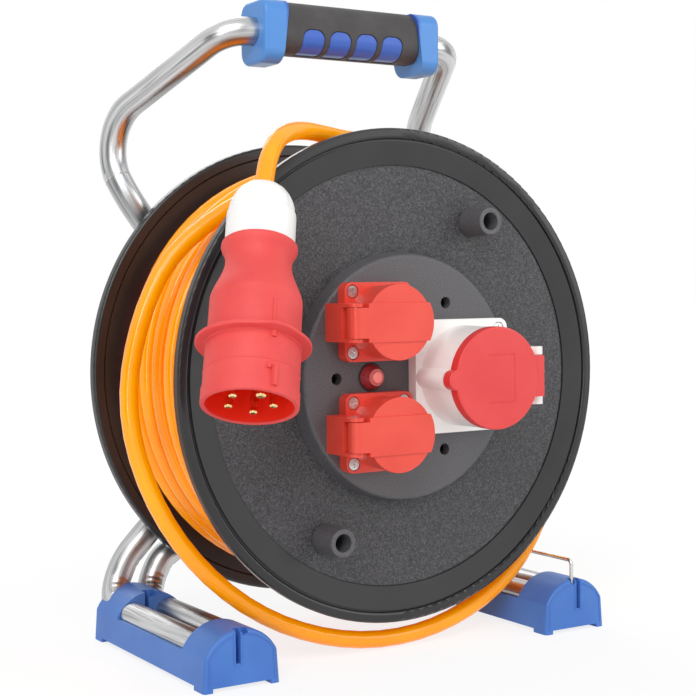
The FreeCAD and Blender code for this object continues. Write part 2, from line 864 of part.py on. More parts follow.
def make_five_pole():
    x = pole_offset_x
    plate_front = panel_front - pole_plate
    front = plate_front - pole_barrel_length
    pin_x = x + pole_hinge_reach
    pin_y = front + pole_hinge_drop
    half_knuckle = pole_knuckle_width / 2
    lug_inner = half_knuckle + seat_gap
    lug_outer = lug_inner + pole_lug_thickness
    cup_back = panel_front + pole_cup_depth + panel_height
    # housing: square plate, tapered barrel with a catch rib, two hinge lugs, cup behind the panel
    plate = rounded_plate(x, 0, pole_size, pole_size, pole_corner, plate_front, panel_front)
    front_point, base_point = along_y(x, 0, front, plate_front)
    barrel = cone(pole_front_radius, pole_base_radius, front_point, base_point)
    cup = rod(pole_cup_radius, *along_y(x, 0, panel_front, cup_back))
    rib = rod(pole_rib_radius, *along_y(x - pole_rib_center, 0, front + pole_hinge_drop, plate_front))
    pieces = [plate, barrel, cup, rib]
    for z_low, z_high in ((-lug_outer, -lug_inner), (lug_inner, lug_outer)):
        pieces.append(turned_z(pole_lug_radius, pin_x, pin_y, z_low, z_high))
        pieces.append(block((x, front + fit_gap, axle_height + z_low),
                            (pin_x, pin_y + pole_lug_radius, axle_height + z_high)))
    housing = joined(pieces)
    well_floor = front + pole_well_depth
    housing = housing.cut(rod(pole_well_radius, *along_y(x, 0, front - overrun, well_floor)))
    cavity = pole_cup_radius - pole_cup_wall
    housing = housing.cut(rod(cavity, *along_y(x, 0, well_floor + pole_floor, cup_back + overrun)))
    housing = housing.cut(rod(pole_insert_radius, *along_y(x, 0, well_floor - overrun, cup_back)))
    housing = housing.cut(turned_z(hinge_pin_radius + fit_gap, pin_x, pin_y, -lug_outer - overrun,
                                   lug_outer + overrun))
    screws = []
    for screw_x, screw_z in pole_screw_places():
        sink = rod(screw_head_radius + screw_rim_gap, *along_y(
            screw_x, screw_z, front, plate_front + screw_sink + screw_head_height))
        hole = rod(screw_shank_radius + fit_gap, *along_y(
            screw_x, screw_z, plate_front, panel_front + overrun))
        housing = housing.cut(sink).cut(hole)
        head = vec(screw_x, plate_front + screw_sink, axle_height + screw_z)
        screws.append(cross_screw(head, vec(0, 1, 0), screw_length))
    add("five_pole_housing", housing.removeSplitter())
    # contact carrier and five contact sleeves
    face = front + pole_insert_setback
    insert = rod(pole_insert_radius - fit_gap, *along_y(x, 0, face, well_floor + pole_insert_tail))
    contacts = []
    for contact_x, contact_z in pole_contact_places(pole_contact_circle):
        sleeve_front = face + pole_contact_setback
        sleeve_back = sleeve_front + pole_contact_length
        insert = insert.cut(rod(pole_contact_radius + fit_gap, *along_y(
            x + contact_x, contact_z, face - overrun, sleeve_back)))
        contacts.append(pipe(pole_contact_radius, pole_contact_bore, *along_y(
            x + contact_x, contact_z, sleeve_front, sleeve_back)))
    add("five_pole_carrier", insert)
    add("five_pole_contacts", Part.Compound(contacts))
    # lid with skirt, catch nose and hinge knuckle
    lid_back = front - seat_gap
    lid_face = lid_back - pole_lid_depth
    plate_back = lid_face + pole_lid_plate
    disc = rod(pole_lid_radius, *along_y(x, 0, lid_face, lid_back))
    nose = rod(pole_nose_radius, *along_y(x - pole_nose_center, 0, lid_face, lid_back))
    disc = disc.fuse(nose).removeSplitter()
    disc = rounded(disc, pole_lid_round,
                   lambda edge: abs(edge.CenterOfMass.y - lid_face) < fit_gap)
    neck = block((x, lid_face + pole_lid_round, axle_height - half_knuckle),
                 (pin_x, lid_back, axle_height + half_knuckle))
    knuckle = turned_z(pole_knuckle_radius, pin_x, pin_y, -half_knuckle, half_knuckle)
    lid = joined([disc, neck, knuckle])
    inner = pole_lid_radius - pole_lid_skirt
    lid = lid.cut(rod(inner, *along_y(x, 0, plate_back, lid_back + overrun)))
    lid = lid.cut(turned_z(hinge_pin_radius + fit_gap, pin_x, pin_y, -lug_outer, lug_outer))
    room = spring_room_length / 2
    lid = lid.cut(turned_z(pole_spring_room, pin_x, pin_y, -room, room))
    add("five_pole_lid", lid)
    add("five_pole_spring", spring_coil(pin_x, pin_y, 0, pole_spring_radius))
    add("five_pole_seal", pipe(inner - fit_gap, inner - pole_seal_width, *along_y(
        x, 0, plate_back, plate_back + pole_seal_depth)))
    add("five_pole_hinge_pin", turned_z(hinge_pin_radius, pin_x, pin_y, -lug_outer, lug_outer))
    return screws


# Reset button and thermal cut-out

def make_reset():
    x = reset_offset_x
    z = reset_lift
    tip = panel_front - reset_height
    face = panel_front - reset_face_height
    shoulder = panel_front - reset_skirt
    back = panel_front + panel_wall
    outline = [
        (0, tip),
        (reset_tip_radius, tip),
        (reset_tip_radius, face),
        (reset_face_radius, face),
        (reset_base_radius, shoulder),
        (reset_base_radius, back),
        (reset_stem_radius, back),
        (reset_stem_radius, back + reset_stem_length),
        (0, back + reset_stem_length),
    ]
    button = spun(outline, x, z)
    button = rounded(button, reset_skirt * half_share, lambda edge: circle_at(
        edge, tip, reset_tip_radius) or circle_at(edge, face, reset_face_radius))
    add("reset_button", button)
    bore = reset_base_radius + fit_gap
    add("reset_bezel", pipe(bore + reset_bezel_width, bore, *along_y(
        x, z, panel_front - reset_bezel_height, panel_front)))
    body_front = back + reset_stem_length + reset_travel + open_gap
    middle_z = axle_height + z
    body = block((x - breaker_width / 2, body_front, middle_z - breaker_height / 2),
                 (x + breaker_width / 2, body_front + breaker_depth, middle_z + breaker_height / 2))
    collar = pipe(reset_base_radius + open_gap + panel_wall * half_share, reset_base_radius + open_gap,
                  *along_y(x, z, back, body_front))
    add("thermal_cutout", joined([body, collar]))


# Axle and bearing

def make_axle():
    plate_front = drum_width + hub_plate_gap + axle_collar
    plate_back = plate_front + hub_plate_thickness
    clip_back = sleeve_front - bush_flange - open_gap
    clip_front = clip_back - clip_thickness
    tip = clip_front - axle_tip
    shaft = rod(axle_radius, *along_y(0, 0, tip, plate_front))
    collar = rod(axle_collar_radius, *along_y(0, 0, plate_front - axle_collar, plate_front))
    stub = rod(stub_radius, *along_y(0, 0, plate_front, plate_back + stub_length))
    groove = pipe(axle_radius + overrun, axle_radius - clip_groove, *along_y(
        0, 0, clip_front - fit_gap, clip_back + fit_gap))
    add("axle", joined([shaft, collar, stub]).cut(groove))
    clip_bore = axle_radius - clip_groove + fit_gap
    clip = pipe(clip_radius, clip_bore, *along_y(0, 0, clip_front, clip_back))
    mouth = block((0, clip_front - overrun, axle_height - axle_radius / 2),
                  (clip_radius + overrun, clip_back + overrun, axle_height + axle_radius / 2))
    add("axle_clip", clip.cut(mouth))
    web_outer = drum_width - web_setback + hub_boss_height
    front_bush = pipe(sleeve_bore - fit_gap, axle_radius + fit_gap, *along_y(
        0, 0, sleeve_front - bush_flange, sleeve_front + bush_length))
    front_flange = pipe(bush_flange_radius, axle_radius + fit_gap, *along_y(
        0, 0, sleeve_front - bush_flange, sleeve_front))
    back_bush = pipe(sleeve_bore - fit_gap, axle_radius + fit_gap, *along_y(
        0, 0, web_outer - bush_length, web_outer))
    add("axle_bushes", Part.Compound([joined([front_bush, front_flange]), back_bush]))
    half_width = hub_plate_width / 2
    plate = block((-half_width, plate_front, base_bar_z - hub_plate_lap),
                  (half_width, plate_back, axle_height + hub_plate_rise))
    plate = rounded(plate, hub_plate_corner, lambda edge: runs_along(edge, vec(0, 1, 0)))
    add("hub_plate", plate.cut(rod(stub_radius + fit_gap, *along_y(
        0, 0, plate_front - overrun, plate_back + overrun))))
    washer_back = plate_back + washer_thickness
    add("axle_washer", pipe(washer_radius, stub_radius + fit_gap, *along_y(
        0, 0, plate_back, washer_back)))
    corners = []
    for index in range(nut_sides + 1):
        angle = math.radians(full_turn * index / nut_sides)
        corners.append(vec(nut_radius * math.cos(angle), washer_back,
                           axle_height + nut_radius * math.sin(angle)))
    nut = Part.Face(Part.makePolygon(corners)).extrude(vec(0, nut_height, 0))
    add("axle_nut", nut.cut(rod(stub_radius + fit_gap, *along_y(
        0, 0, washer_back - overrun, washer_back + nut_height + overrun))))


# Tubes of the stand

def handle_path():
    outer_leg = foot_center + leg_spacing / 2
    points = [
        vec(0, grip_depth, grip_height),
        vec(-shoulder_x, grip_depth, grip_height),
        vec(-elbow_x, tube_plane + elbow_setback, grip_height - elbow_drop),
        vec(-neck_x, tube_plane, grip_height - neck_drop),
        vec(-hub_bend_x, tube_plane, axle_height - hub_bend_drop),
        vec(-knee_x, tube_plane, knee_z),
        vec(-outer_leg, tube_plane, leg_height),
        vec(-outer_leg, leg_front, leg_height),
    ]
    return bent_path(points, [shoulder_bend, elbow_bend, neck_bend, hub_bend, knee_bend, heel_bend])


def base_half_points(side):
    inner_leg = foot_center - leg_spacing / 2
    return [
        vec(side * inner_leg, leg_front, leg_height),
        vec(side * inner_leg, tube_plane, leg_height),
        vec(side * base_knee_x, tube_plane, base_knee_z),
        vec(side * base_bar_x, tube_plane, base_bar_z),
    ]


def base_path():
    points = base_half_points(-1) + base_half_points(1)[::-1]
    bends = [heel_bend, base_knee_bend, base_bar_bend]
    return bent_path(points, bends + bends[::-1])


def make_tubes():
    left = hollow_tube(handle_path())
    add("handle_tube_left", left)
    add("handle_tube_right", mirrored_x(left))
    add("base_tube", hollow_tube(base_path()))
    half_joiner = joiner_length / 2
    joiner_radius = tube_radius - tube_wall - fit_gap
    add("tube_joiner", pipe(joiner_radius, joiner_radius - tube_wall,
                            vec(-half_joiner, grip_depth, grip_height),
                            vec(half_joiner, grip_depth, grip_height)))


# Feet

def foot_profile():
    """Arched cross section of a foot's saddle, across X."""
    half = foot_width / 2
    top = half - foot_draft
    corners = [
        vec(-half, 0, 0),
        vec(-top, 0, foot_shoulder_height),
        vec(0, 0, foot_peak_height),
        vec(top, 0, foot_shoulder_height),
        vec(half, 0, 0),
    ]
    return Part.Face(Part.Wire([
        Part.LineSegment(corners[0], corners[1]).toShape(),
        Part.Arc(corners[1], corners[2], corners[3]).toShape(),
        Part.LineSegment(corners[3], corners[4]).toShape(),
        Part.LineSegment(corners[4], corners[0]).toShape(),
    ]))


def make_left_foot():
    half = foot_width / 2
    length = foot_back - foot_front
    whole = foot_profile().extrude(vec(0, length, 0))
    whole = rounded(whole, foot_shoulder_round, lambda edge: runs_along(
        edge, vec(0, 1, 0)) and edge.CenterOfMass.z > fit_gap)
    whole = rounded(whole, foot_round, lambda edge: (
        edge.BoundBox.YLength < fit_gap and edge.BoundBox.ZMax > fit_gap))
    whole.translate(vec(0, foot_front, 0))
    trough_front = foot_front + foot_front_saddle
    trough_back = foot_back - foot_back_saddle
    open_top = block((-half, trough_front, foot_wall_height), (half, trough_back, foot_peak_height))
    trough_half = leg_spacing / 2 + tube_radius + foot_trough_gap
    trough = block((-trough_half, trough_front, foot_trough_floor),
                   (trough_half, trough_back, foot_peak_height))
    foot = whole.cut(open_top).cut(trough)
    # relief under the foot leaves a pad at each corner
    foot = foot.cut(block((-half + foot_pad_width, foot_front - overrun, -overrun),
                          (half - foot_pad_width, foot_back + overrun, foot_pad_height)))
    foot = foot.cut(block((-half - overrun, foot_front + foot_pad_length, -overrun),
                          (half + overrun, foot_back - foot_pad_length, foot_pad_height)))
    # slot, pocket and leg hole in each face that looks forward
    room = bail_wire + bail_hole_gap
    for face_y in (foot_front, trough_back):
        slot_x = -slot_offset
        foot = foot.cut(block((slot_x - slot_width / 2, face_y - overrun, slot_bottom),
                              (slot_x + slot_width / 2, face_y + slot_depth, foot_peak_height)))
        leg = vec(-bail_offset, face_y + bail_setback, 0)
        foot = foot.cut(rod(room, leg + vec(0, 0, bail_leg_end - bail_travel - seat_gap),
                            leg + vec(0, 0, foot_peak_height + overrun)))
        pocket_low = (leg.x - room, face_y - overrun, foot_peak_height - bail_pocket_height)
        pocket_high = (leg.x - room + bail_pocket_width, leg.y + room + bail_bend_room,
                       foot_peak_height + overrun)
        foot = foot.cut(block(pocket_low, pocket_high))
    foot.translate(vec(-foot_center, 0, 0))
    return foot


def foot_screw_places():
    places = []
    for side in (-1, 1):
        for leg in (-1, 1):
            x = side * foot_center + leg * leg_spacing / 2
            places.append((x, foot_front + foot_screw_inset))
            places.append((x, foot_back - foot_screw_inset - foot_pad_length))
    return places


def make_feet():
    left = make_left_foot()
    room = tube_radius + fit_gap
    left = left.cut(swept(handle_path(), room)).cut(swept(base_path(), room))
    right = mirrored_x(left)
    screws = []
    for x, y in foot_screw_places():
        head = vec(x, y, foot_pad_height)
        sink = rod(foot_screw_head + fit_gap, head - vec(0, 0, overrun),
                   head + vec(0, 0, foot_screw_head_height))
        hole = rod(foot_screw_radius + fit_gap, head, vec(x, y, leg_height))
        if x < 0:
            left = left.cut(sink).cut(hole)
        else:
            right = right.cut(sink).cut(hole)
        screws.append(joined([
            rod(foot_screw_head, head, head + vec(0, 0, foot_screw_head_height)),
            rod(foot_screw_radius, head, head + vec(0, 0, foot_screw_length)),
        ]))
    add("foot_left", left)
    add("foot_right", right)
    add("foot_screws", Part.Compound(screws))


def make_bail():
    x = foot_center + bail_offset
    front = foot_front + bail_setback
    back = foot_back - foot_back_saddle + bail_setback
    points = [
        vec(x, front, bail_leg_end),
        vec(x, front, bail_top_height),
        vec(x, back, bail_top_height),
        vec(x, back, bail_leg_end),
    ]
    add("wire_bail", swept(bent_path(points, [bail_bend] * 2), bail_wire))


# Grip

def grip_bar(height, depth, corner, lift, start, end):
    low = (start, grip_depth - depth / 2, grip_height + lift - height / 2)
    high = (end, grip_depth + depth / 2, grip_height + lift + height / 2)
    bar = block(low, high)
    return rounded(bar, corner, lambda edge: runs_along(edge, vec(1, 0, 0)))


def grip_middle(top_x, bottom_x):
    """Middle zone of the grip, between its two slanted seams."""
    reach = grip_collar_depth
    corners = [
        vec(-top_x, -reach, grip_collar_height),
        vec(top_x, -reach, grip_collar_height),
        vec(bottom_x, -reach, -grip_collar_height),
        vec(-bottom_x, -reach, -grip_collar_height),
        vec(-top_x, -reach, grip_collar_height),
    ]
    zone = Part.Face(Part.makePolygon(corners)).extrude(vec(0, 2 * reach, 0))
    zone.translate(vec(0, grip_depth, grip_height))
    return zone


def finger_window(index, margin):
    """Rounded window for one finger, low on the front of the grip."""
    x = (index - (finger_count - 1) / 2) * finger_pitch
    half = finger_width / 2 + margin
    body_bottom = grip_height + grip_body_lift - grip_body_height / 2
    top = body_bottom + finger_height + margin
    low = (x - half, grip_depth - grip_collar_depth, body_bottom - overrun)
    high = (x + half, grip_depth, top)
    window = block(low, high)
    return rounded(window, finger_round, lambda edge: runs_along(
        edge, vec(0, 1, 0)) and edge.CenterOfMass.z > top - fit_gap)


def make_grip():
    half = grip_length / 2
    bar_bore = rod(tube_radius + fit_gap, vec(-half - overrun, grip_depth, grip_height),
                   vec(half + overrun, grip_depth, grip_height))
    collar_drop = (grip_body_height - grip_collar_height) / 2 + grip_body_lift
    whole = grip_bar(grip_collar_height, grip_collar_depth, grip_collar_round, collar_drop, -half, half)
    whole = rounded(whole, foot_round, lambda edge: abs(abs(edge.CenterOfMass.x) - half) < fit_gap)
    core = grip_bar(grip_core_height, grip_core_depth, grip_core_round, grip_body_lift, -half, half)
    middle = grip_middle(grip_seam_top, grip_seam_bottom)
    shells = joined([whole.cut(middle), core])
    sleeve_zone = grip_middle(grip_seam_top - grip_seam_gap, grip_seam_bottom - grip_seam_gap)
    body = grip_bar(grip_body_height, grip_body_depth, grip_body_round, grip_body_lift, -half, half)
    cover = body.common(sleeve_zone).cut(grip_bar(
        grip_core_height + 2 * fit_gap, grip_core_depth + 2 * fit_gap, grip_core_round,
        grip_body_lift, -half, half))
    sunk = grip_bar(grip_body_height - finger_drop, grip_body_depth - finger_drop,
                    grip_body_round - finger_drop, grip_body_lift, -half, half)
    for index in range(finger_count):
        shells = shells.fuse(sunk.common(finger_window(index, 0)))
        cover = cover.cut(finger_window(index, finger_gap))
    shells = shells.removeSplitter().cut(bar_bore)
    depth = grip_collar_depth
    front_half = block((-half - overrun, grip_depth - depth, grip_height - depth),
                       (half + overrun, grip_depth, grip_height + depth))
    back_half = block((-half - overrun, grip_depth, grip_height - depth),
                      (half + overrun, grip_depth + depth, grip_height + depth))
    front_shell = shells.common(front_half)
    back_shell = shells.common(back_half)
    screws = []
    for side in (-1, 1):
        x = side * (grip_screw_pitch / 2 + grip_collar_end * half_share)
        z = grip_height - tube_radius - screw_head_radius - fit_gap
        head = vec(x, grip_depth + grip_collar_depth / 2 - grip_screw_sink, z)
        sink = rod(screw_head_radius + fit_gap, head + vec(0, grip_collar_depth, 0),
                   head - vec(0, screw_head_height, 0))
        hole_depth = grip_screw_length + grip_screw_sink + seat_gap
        hole = rod(screw_shank_radius + fit_gap, head, head - vec(0, hole_depth, 0))
        back_shell = back_shell.cut(sink).cut(hole)
        front_shell = front_shell.cut(hole)
        screws.append(cross_screw(head, vec(0, -1, 0), grip_screw_length + grip_screw_sink))
    add("grip_shell_front", front_shell)
    add("grip_shell_rear", back_shell)
    add("grip_cover_front", cover.common(front_half))
    add("grip_cover_rear", cover.common(back_half))
    add("grip_screws", Part.Compound(screws))


# Terminal block on the inside of the rear flange

def make_terminals():
    back = drum_width - web_setback - web_thickness
    body = block((terminal_offset, back - terminal_depth, axle_height - terminal_height / 2),
                 (terminal_offset + terminal_width, back, axle_height + terminal_height / 2))
    step = terminal_width / terminal_way_count
    for index in range(terminal_way_count):
        x = terminal_offset + step * (index + half_share)
        way = block((x - terminal_way_size / 2, back - terminal_depth - overrun,
                     axle_height - terminal_way_size / 2),
                    (x + terminal_way_size / 2, back - terminal_depth * half_share,
                     axle_height + terminal_way_size / 2))
        body = body.cut(way)
    add("terminal_block", body)


# Cable

def smooth(share):
    share = min(max(share, 0), 1)
    return share * share * (3 - 2 * share)


winding_turns = layer_turns + climb_turns + upper_turns


def winding_place(turn):
    """Middle of the wound cable after this many turns: one full layer, then loose turns over it."""
    layer_end = layer_first_y + cable_pitch * layer_turns
    since_layer = turn - layer_turns
    since_climb = since_layer - climb_turns
    radius = layer_radius + climb_height * smooth(since_layer / climb_turns)
    if since_layer <= 0:
        y = layer_first_y + cable_pitch * turn
    elif since_climb <= 0:
        share = since_layer / climb_turns
        drift = climb_drift * share * (3 - 2 * share)
        rise = cable_pitch * climb_turns * share * (1 - share) ** 2
        fall = upper_pitch * climb_turns * share * share * (1 - share)
        y = layer_end + drift + rise + fall
    else:
        y = layer_end + climb_drift - upper_pitch * since_climb
    radius += end_lift * smooth((turn - winding_turns) / end_lift_turns + 1)
    angle = math.radians(end_angle + (turn - winding_turns) * full_turn)
    return vec(radius * math.cos(angle), y, axle_height + radius * math.sin(angle))


def least_gap(points, skip):
    """Smallest distance between points at least skip places apart, less the cable's own diameter."""
    least = None
    for first, point in enumerate(points):
        for other in points[first + skip:]:
            distance = (point - other).Length
            if least is None or distance < least:
                least = distance
    return least - 2 * cable_radius


def make_winding():
    straight = 2 * cable_radius
    path, end, way = coiled_path(winding_place, winding_turns, arcs_per_turn, straight)
    add("cable_winding", swept(path, cable_radius))
    steps = 48
    samples = [winding_place(index / steps) for index in range(round(winding_turns * steps) + 1)]
    print("winding", round(winding_turns, 2), "turns, length", round(path.Length),
          "least gap to itself", round(least_gap(samples, steps // 2), 2))
    inner_face = web_setback + web_thickness
    outer = layer_radius - cable_radius - winding_skin
    add("cable_winding_core", pipe(outer, core_radius + winding_skin, *along_y(
        0, 0, inner_face + winding_skin, drum_width - inner_face - winding_skin)))
    return end, way


def drum_point(shares):
    across, behind, above = shares
    return vec(across * flange_radius, behind * drum_width, axle_height + above * flange_radius)


def plug_way():
    return vec(*plug_axis_shares).normalize()


def make_loose_cable(end, way):
    start = drum_point(plug_top_shares) + plug_way() * (plug_nut_top - fit_gap)
    route = [drum_point(shares) for shares in loose_point_shares]
    points = [start] + route + [end + way * last_run, end]
    radii = []
    for before, corner, after in zip(points, points[1:], points[2:]):
        first_run = corner - before
        next_run = after - corner
        half_turn = first_run.getAngle(next_run) / 2
        shorter = min(first_run.Length, next_run.Length)
        radii.append(tube_bend_share * shorter / math.tan(half_turn))
    path = bent_path(points, radii)
    tube = swept(path, cable_radius)
    add("cable_loose", tube)
    ideal = math.pi * cable_radius ** 2 * path.Length
    print("loose cable length", round(path.Length), "volume against section times length",
          round(tube.Volume / ideal, 4))
    print("loose cable runs", [round((b - a).Length) for a, b in zip(points, points[1:])])
    print("loose cable radii", [round(radius, 1) for radius in radii])


# Plug

def plug_spun(outline):
    points = [vec(radius, 0, along) for radius, along in outline]
    face = Part.Face(Part.makePolygon(points + [points[0]]))
    return face.revolve(vec(0, 0, 0), vec(0, 0, 1), full_turn)


def plug_rod(radius, start, end, x=0, y=0):
    return rod(radius, vec(x, y, start), vec(x, y, end))


def place_plug(shape):
    shape.rotate(vec(0, 0, 0), vec(0, 0, 1), plug_spin)
    turn = FreeCAD.Rotation(vec(0, 0, 1), plug_way())
    shape.Placement = FreeCAD.Placement(drum_point(plug_top_shares), turn).multiply(shape.Placement)
    return shape


def make_plug():
    # gland nut: domed, ribbed, with a bore for the cable and a cavity for the neck
    dome = [(nut_tip_radius, 0)]
    steps = 6
    for step in range(1, steps + 1):
        angle = math.radians(90 * step / steps)
        radius = nut_tip_radius + (plug_nut_radius - nut_tip_radius) * math.sin(angle)
        along = nut_dome_length * (1 - math.cos(angle))
        dome.append((radius, along))
    outline = [(0, 0)] + dome + [(plug_nut_radius, plug_nut_length), (0, plug_nut_length)]
    nut = plug_spun(outline)
    for index in range(nut_rib_count):
        angle = math.radians(full_turn * index / nut_rib_count)
        x = plug_nut_radius * math.cos(angle)
        y = plug_nut_radius * math.sin(angle)
        rib = rod(nut_rib_radius, vec(x, y, nut_dome_length * half_share + nut_rib_radius),
                  vec(x, y, plug_nut_length))
        nut = nut.cut(rib)
    nut = nut.cut(plug_rod(plug_nut_bore, -overrun, plug_nut_length))
    nut = nut.cut(plug_rod(plug_nut_cavity, plug_nut_top, plug_nut_length + overrun))
    add("plug_gland_nut", place_plug(nut))
    seal_end = plug_nut_top + seal_length
    add("plug_seal", place_plug(plug_rod(plug_nut_cavity - fit_gap, plug_nut_top, seal_end)))
    # body: neck, rim, waist, shoulder, collar and shroud
    rim_end = plug_nut_length + plug_rim_length
    mouth_start = plug_length - plug_mouth_band
    collar_end = plug_collar_at + plug_collar_thickness
    waist = []
    for outward_share, along_share in plug_waist_shares:
        radius = plug_waist_radius + (plug_body_radius - plug_waist_radius) * outward_share
        waist.append((radius, rim_end + (plug_shoulder_at - rim_end) * along_share))
    outline = [
        (0, seal_end),
        (neck_radius, seal_end),
        (neck_radius, plug_nut_length + seat_gap),
        (plug_rim_radius, plug_nut_length + seat_gap),
        (plug_rim_radius, rim_end),
        *waist,
        (plug_body_radius, plug_shoulder_at),
        (plug_body_radius, plug_collar_at),
        (plug_collar_radius, plug_collar_at),
        (plug_collar_radius, collar_end),
        (plug_shroud_radius, collar_end),
        (plug_shroud_radius, mouth_start),
        (plug_mouth_radius, mouth_start + plug_mouth_step),
        (plug_mouth_radius, plug_length),
        (0, plug_length),
    ]
    body = plug_spun(outline)
    key = block((-key_width / 2, -plug_shroud_radius - key_height, key_start),
                (key_width / 2, key_height - plug_shroud_radius, key_end))
    body = body.fuse(key).removeSplitter()
    cavity = plug_shroud_radius - plug_shroud_wall
    insert_start = plug_face_at - plug_insert_length
    body = body.cut(plug_rod(cavity, insert_start, plug_length + overrun))
    body = body.cut(plug_rod(neck_radius - neck_wall, seal_end - overrun, insert_start + overrun))
    add("plug_body", place_plug(body))
    insert = plug_rod(cavity - fit_gap, insert_start, plug_face_at)
    pins = []
    for index, (x, y) in enumerate(pole_contact_places(pin_circle)):
        radius = earth_pin_radius if index == 0 else pin_radius
        tip = plug_face_at + pin_length
        pin = plug_rod(radius, plug_face_at - pin_tail, tip, x, y)
        pin = rounded(pin, radius * half_share, lambda edge: edge.Curve.TypeId == "Part::GeomCircle"
                      and abs(edge.Curve.Center.z - tip) < fit_gap)
        pins.append(pin)
        insert = insert.cut(plug_rod(radius + fit_gap, plug_face_at - pin_tail, tip, x, y))
    add("plug_insert", place_plug(insert))
    add("plug_pins", place_plug(Part.Compound(pins)))


def build():
    make_flanges()
    make_core()
    make_panel()
    make_posts()
    outlet_screws = make_outlet("outlet_upper", 1) + make_outlet("outlet_lower", -1)
    pole_screws = make_five_pole()
    add("outlet_screws", Part.Compound(outlet_screws))
    add("five_pole_screws", Part.Compound(pole_screws))
    make_reset()
    make_axle()
    make_tubes()
    make_feet()
    make_bail()
    make_grip()
    make_terminals()
    end, way = make_winding()
    make_loose_cable(end, way)
    make_plug()


cable_nodes = ("cable_winding_core", "cable_winding", "cable_loose", "plug_gland_nut", "plug_seal",
               "plug_body", "plug_insert", "plug_pins")


def middle_y():
    """Middle of the reel's depth, without the cable and its plug."""
    fronts = []
    backs = []
    for name, shape in nodes.items():
        if name not in cable_nodes:
            box = shape.optimalBoundingBox(False)
            fronts.append(box.YMin)
            backs.append(box.YMax)
    return (min(fronts) + max(backs)) / 2


build()
shift_y = -middle_y()
os.makedirs("parts", exist_ok=True)
for name, shape in nodes.items():
    shape.translate(vec(0, shift_y, 0))
    shape.exportStep(os.path.join("parts", name + ".step"))
print("moved along Y by", round(shift_y, 4), "pieces", len(nodes))
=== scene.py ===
import bmesh
import bpy
import math
from mathutils import Matrix, Vector
from mathutils.bvhtree import BVHTree


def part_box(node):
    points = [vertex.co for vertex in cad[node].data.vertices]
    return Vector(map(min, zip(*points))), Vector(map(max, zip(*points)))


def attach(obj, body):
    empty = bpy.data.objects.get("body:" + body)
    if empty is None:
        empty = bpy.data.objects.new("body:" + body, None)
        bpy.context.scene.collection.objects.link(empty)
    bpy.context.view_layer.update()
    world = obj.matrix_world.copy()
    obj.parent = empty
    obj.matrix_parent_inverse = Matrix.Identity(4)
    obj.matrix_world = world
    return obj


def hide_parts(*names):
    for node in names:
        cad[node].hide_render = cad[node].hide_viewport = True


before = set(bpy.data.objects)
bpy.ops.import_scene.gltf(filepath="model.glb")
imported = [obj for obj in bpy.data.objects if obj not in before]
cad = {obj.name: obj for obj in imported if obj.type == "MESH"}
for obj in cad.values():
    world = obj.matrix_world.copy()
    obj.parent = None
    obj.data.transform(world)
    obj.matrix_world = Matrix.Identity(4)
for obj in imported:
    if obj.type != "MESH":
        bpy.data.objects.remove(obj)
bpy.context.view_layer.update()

# The reel's sizes below are in millimetres, and are turned to metres where a mesh, a curve or a
# pattern is made. The stage and its lamps are in metres.
MM = 0.001
AXLE_HEIGHT = 174.4
# Sizes along Y are measured from the rim of the front flange, and this is where that rim lies.
RIM_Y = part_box("front_flange")[0].y / MM


def at(x, y, z):
    """A point in millimetres, y from the front rim and z from the floor, in metres."""
    return Vector((x, y + RIM_Y, z)) * MM


# Camera: its place, and the ways in which its right, its top and its back lie

CAMERA_PLACE = (-515.4, -764.5, 233.2)
CAMERA_RIGHT = (0.849092, -0.528132, -0.010918)
CAMERA_UP = (0.032492, 0.031586, 0.998973)
CAMERA_BACK = (-0.527244, -0.848575, 0.043979)
LENS_LENGTH = 76.19
FILM_WIDTH = 36


def place_camera():
    """The photo's camera, as solved from the drum, the socket panel and the feet."""
    data = bpy.data.cameras.new("photo_camera")
    data.sensor_width = FILM_WIDTH
    data.lens = LENS_LENGTH
    camera = bpy.data.objects.new("photo_camera", data)
    turn = Matrix((CAMERA_RIGHT, CAMERA_UP, CAMERA_BACK)).transposed().to_4x4()
    camera.matrix_world = Matrix.Translation(at(*CAMERA_PLACE)) @ turn
    bpy.context.scene.collection.objects.link(camera)
    bpy.context.scene.camera = camera


place_camera()


# Finishes

def linear(code):
    """An sRGB hex colour as linear red, green, blue and alpha."""
    values = []
    for start in (1, 3, 5):
        share = int(code[start:start + 2], 16) / 255
        values.append(share / 12.92 if share <= 0.04045 else ((share + 0.055) / 1.055) ** 2.4)
    return (*values, 1.0)


def join(tree, socket, value):
    """Links a socket to another one's output, or gives it a value."""
    if isinstance(value, bpy.types.NodeSocket):
        tree.links.new(value, socket)
    else:
        socket.default_value = value


def add_node(tree, kind, inputs=(), stops=(), **settings):
    """Adds a node with its settings, its links and the stops of its colour ramp."""
    node = tree.nodes.new(kind)
    for name, value in settings.items():
        setattr(node, name, value)
    for name, value in dict(inputs).items():
        join(tree, node.inputs[name], value)
    for index, (place, code) in enumerate(stops):
        node.color_ramp.elements[index].position = place
        node.color_ramp.elements[index].color = linear(code)
    return node


class Finish:
    """One of the reel's finishes: a material and its node tree."""

    def __init__(self, name, **values):
        self.material = bpy.data.materials.new(name)
        self.material.use_nodes = True
        self.tree = self.material.node_tree
        self.shader = self.tree.nodes["Principled BSDF"]
        self.place = self.node("ShaderNodeTexCoord").outputs["Object"]
        self.give(**values)

    def node(self, kind, inputs=(), stops=(), **settings):
        """Adds a node to this finish."""
        return add_node(self.tree, kind, inputs, stops, **settings)

    def give(self, **values):
        """Sets or links the shader's own sockets."""
        for name, value in values.items():
            socket = "IOR" if name == "ior" else name.replace("_", " ").title()
            join(self.tree, self.shader.inputs[socket], value)


# The size of the clouds in moulded plastic, and how far its roughness goes up and down
MOULDED_CLOUD = 30
MOULDED_GLOSS_SPREAD = 0.05


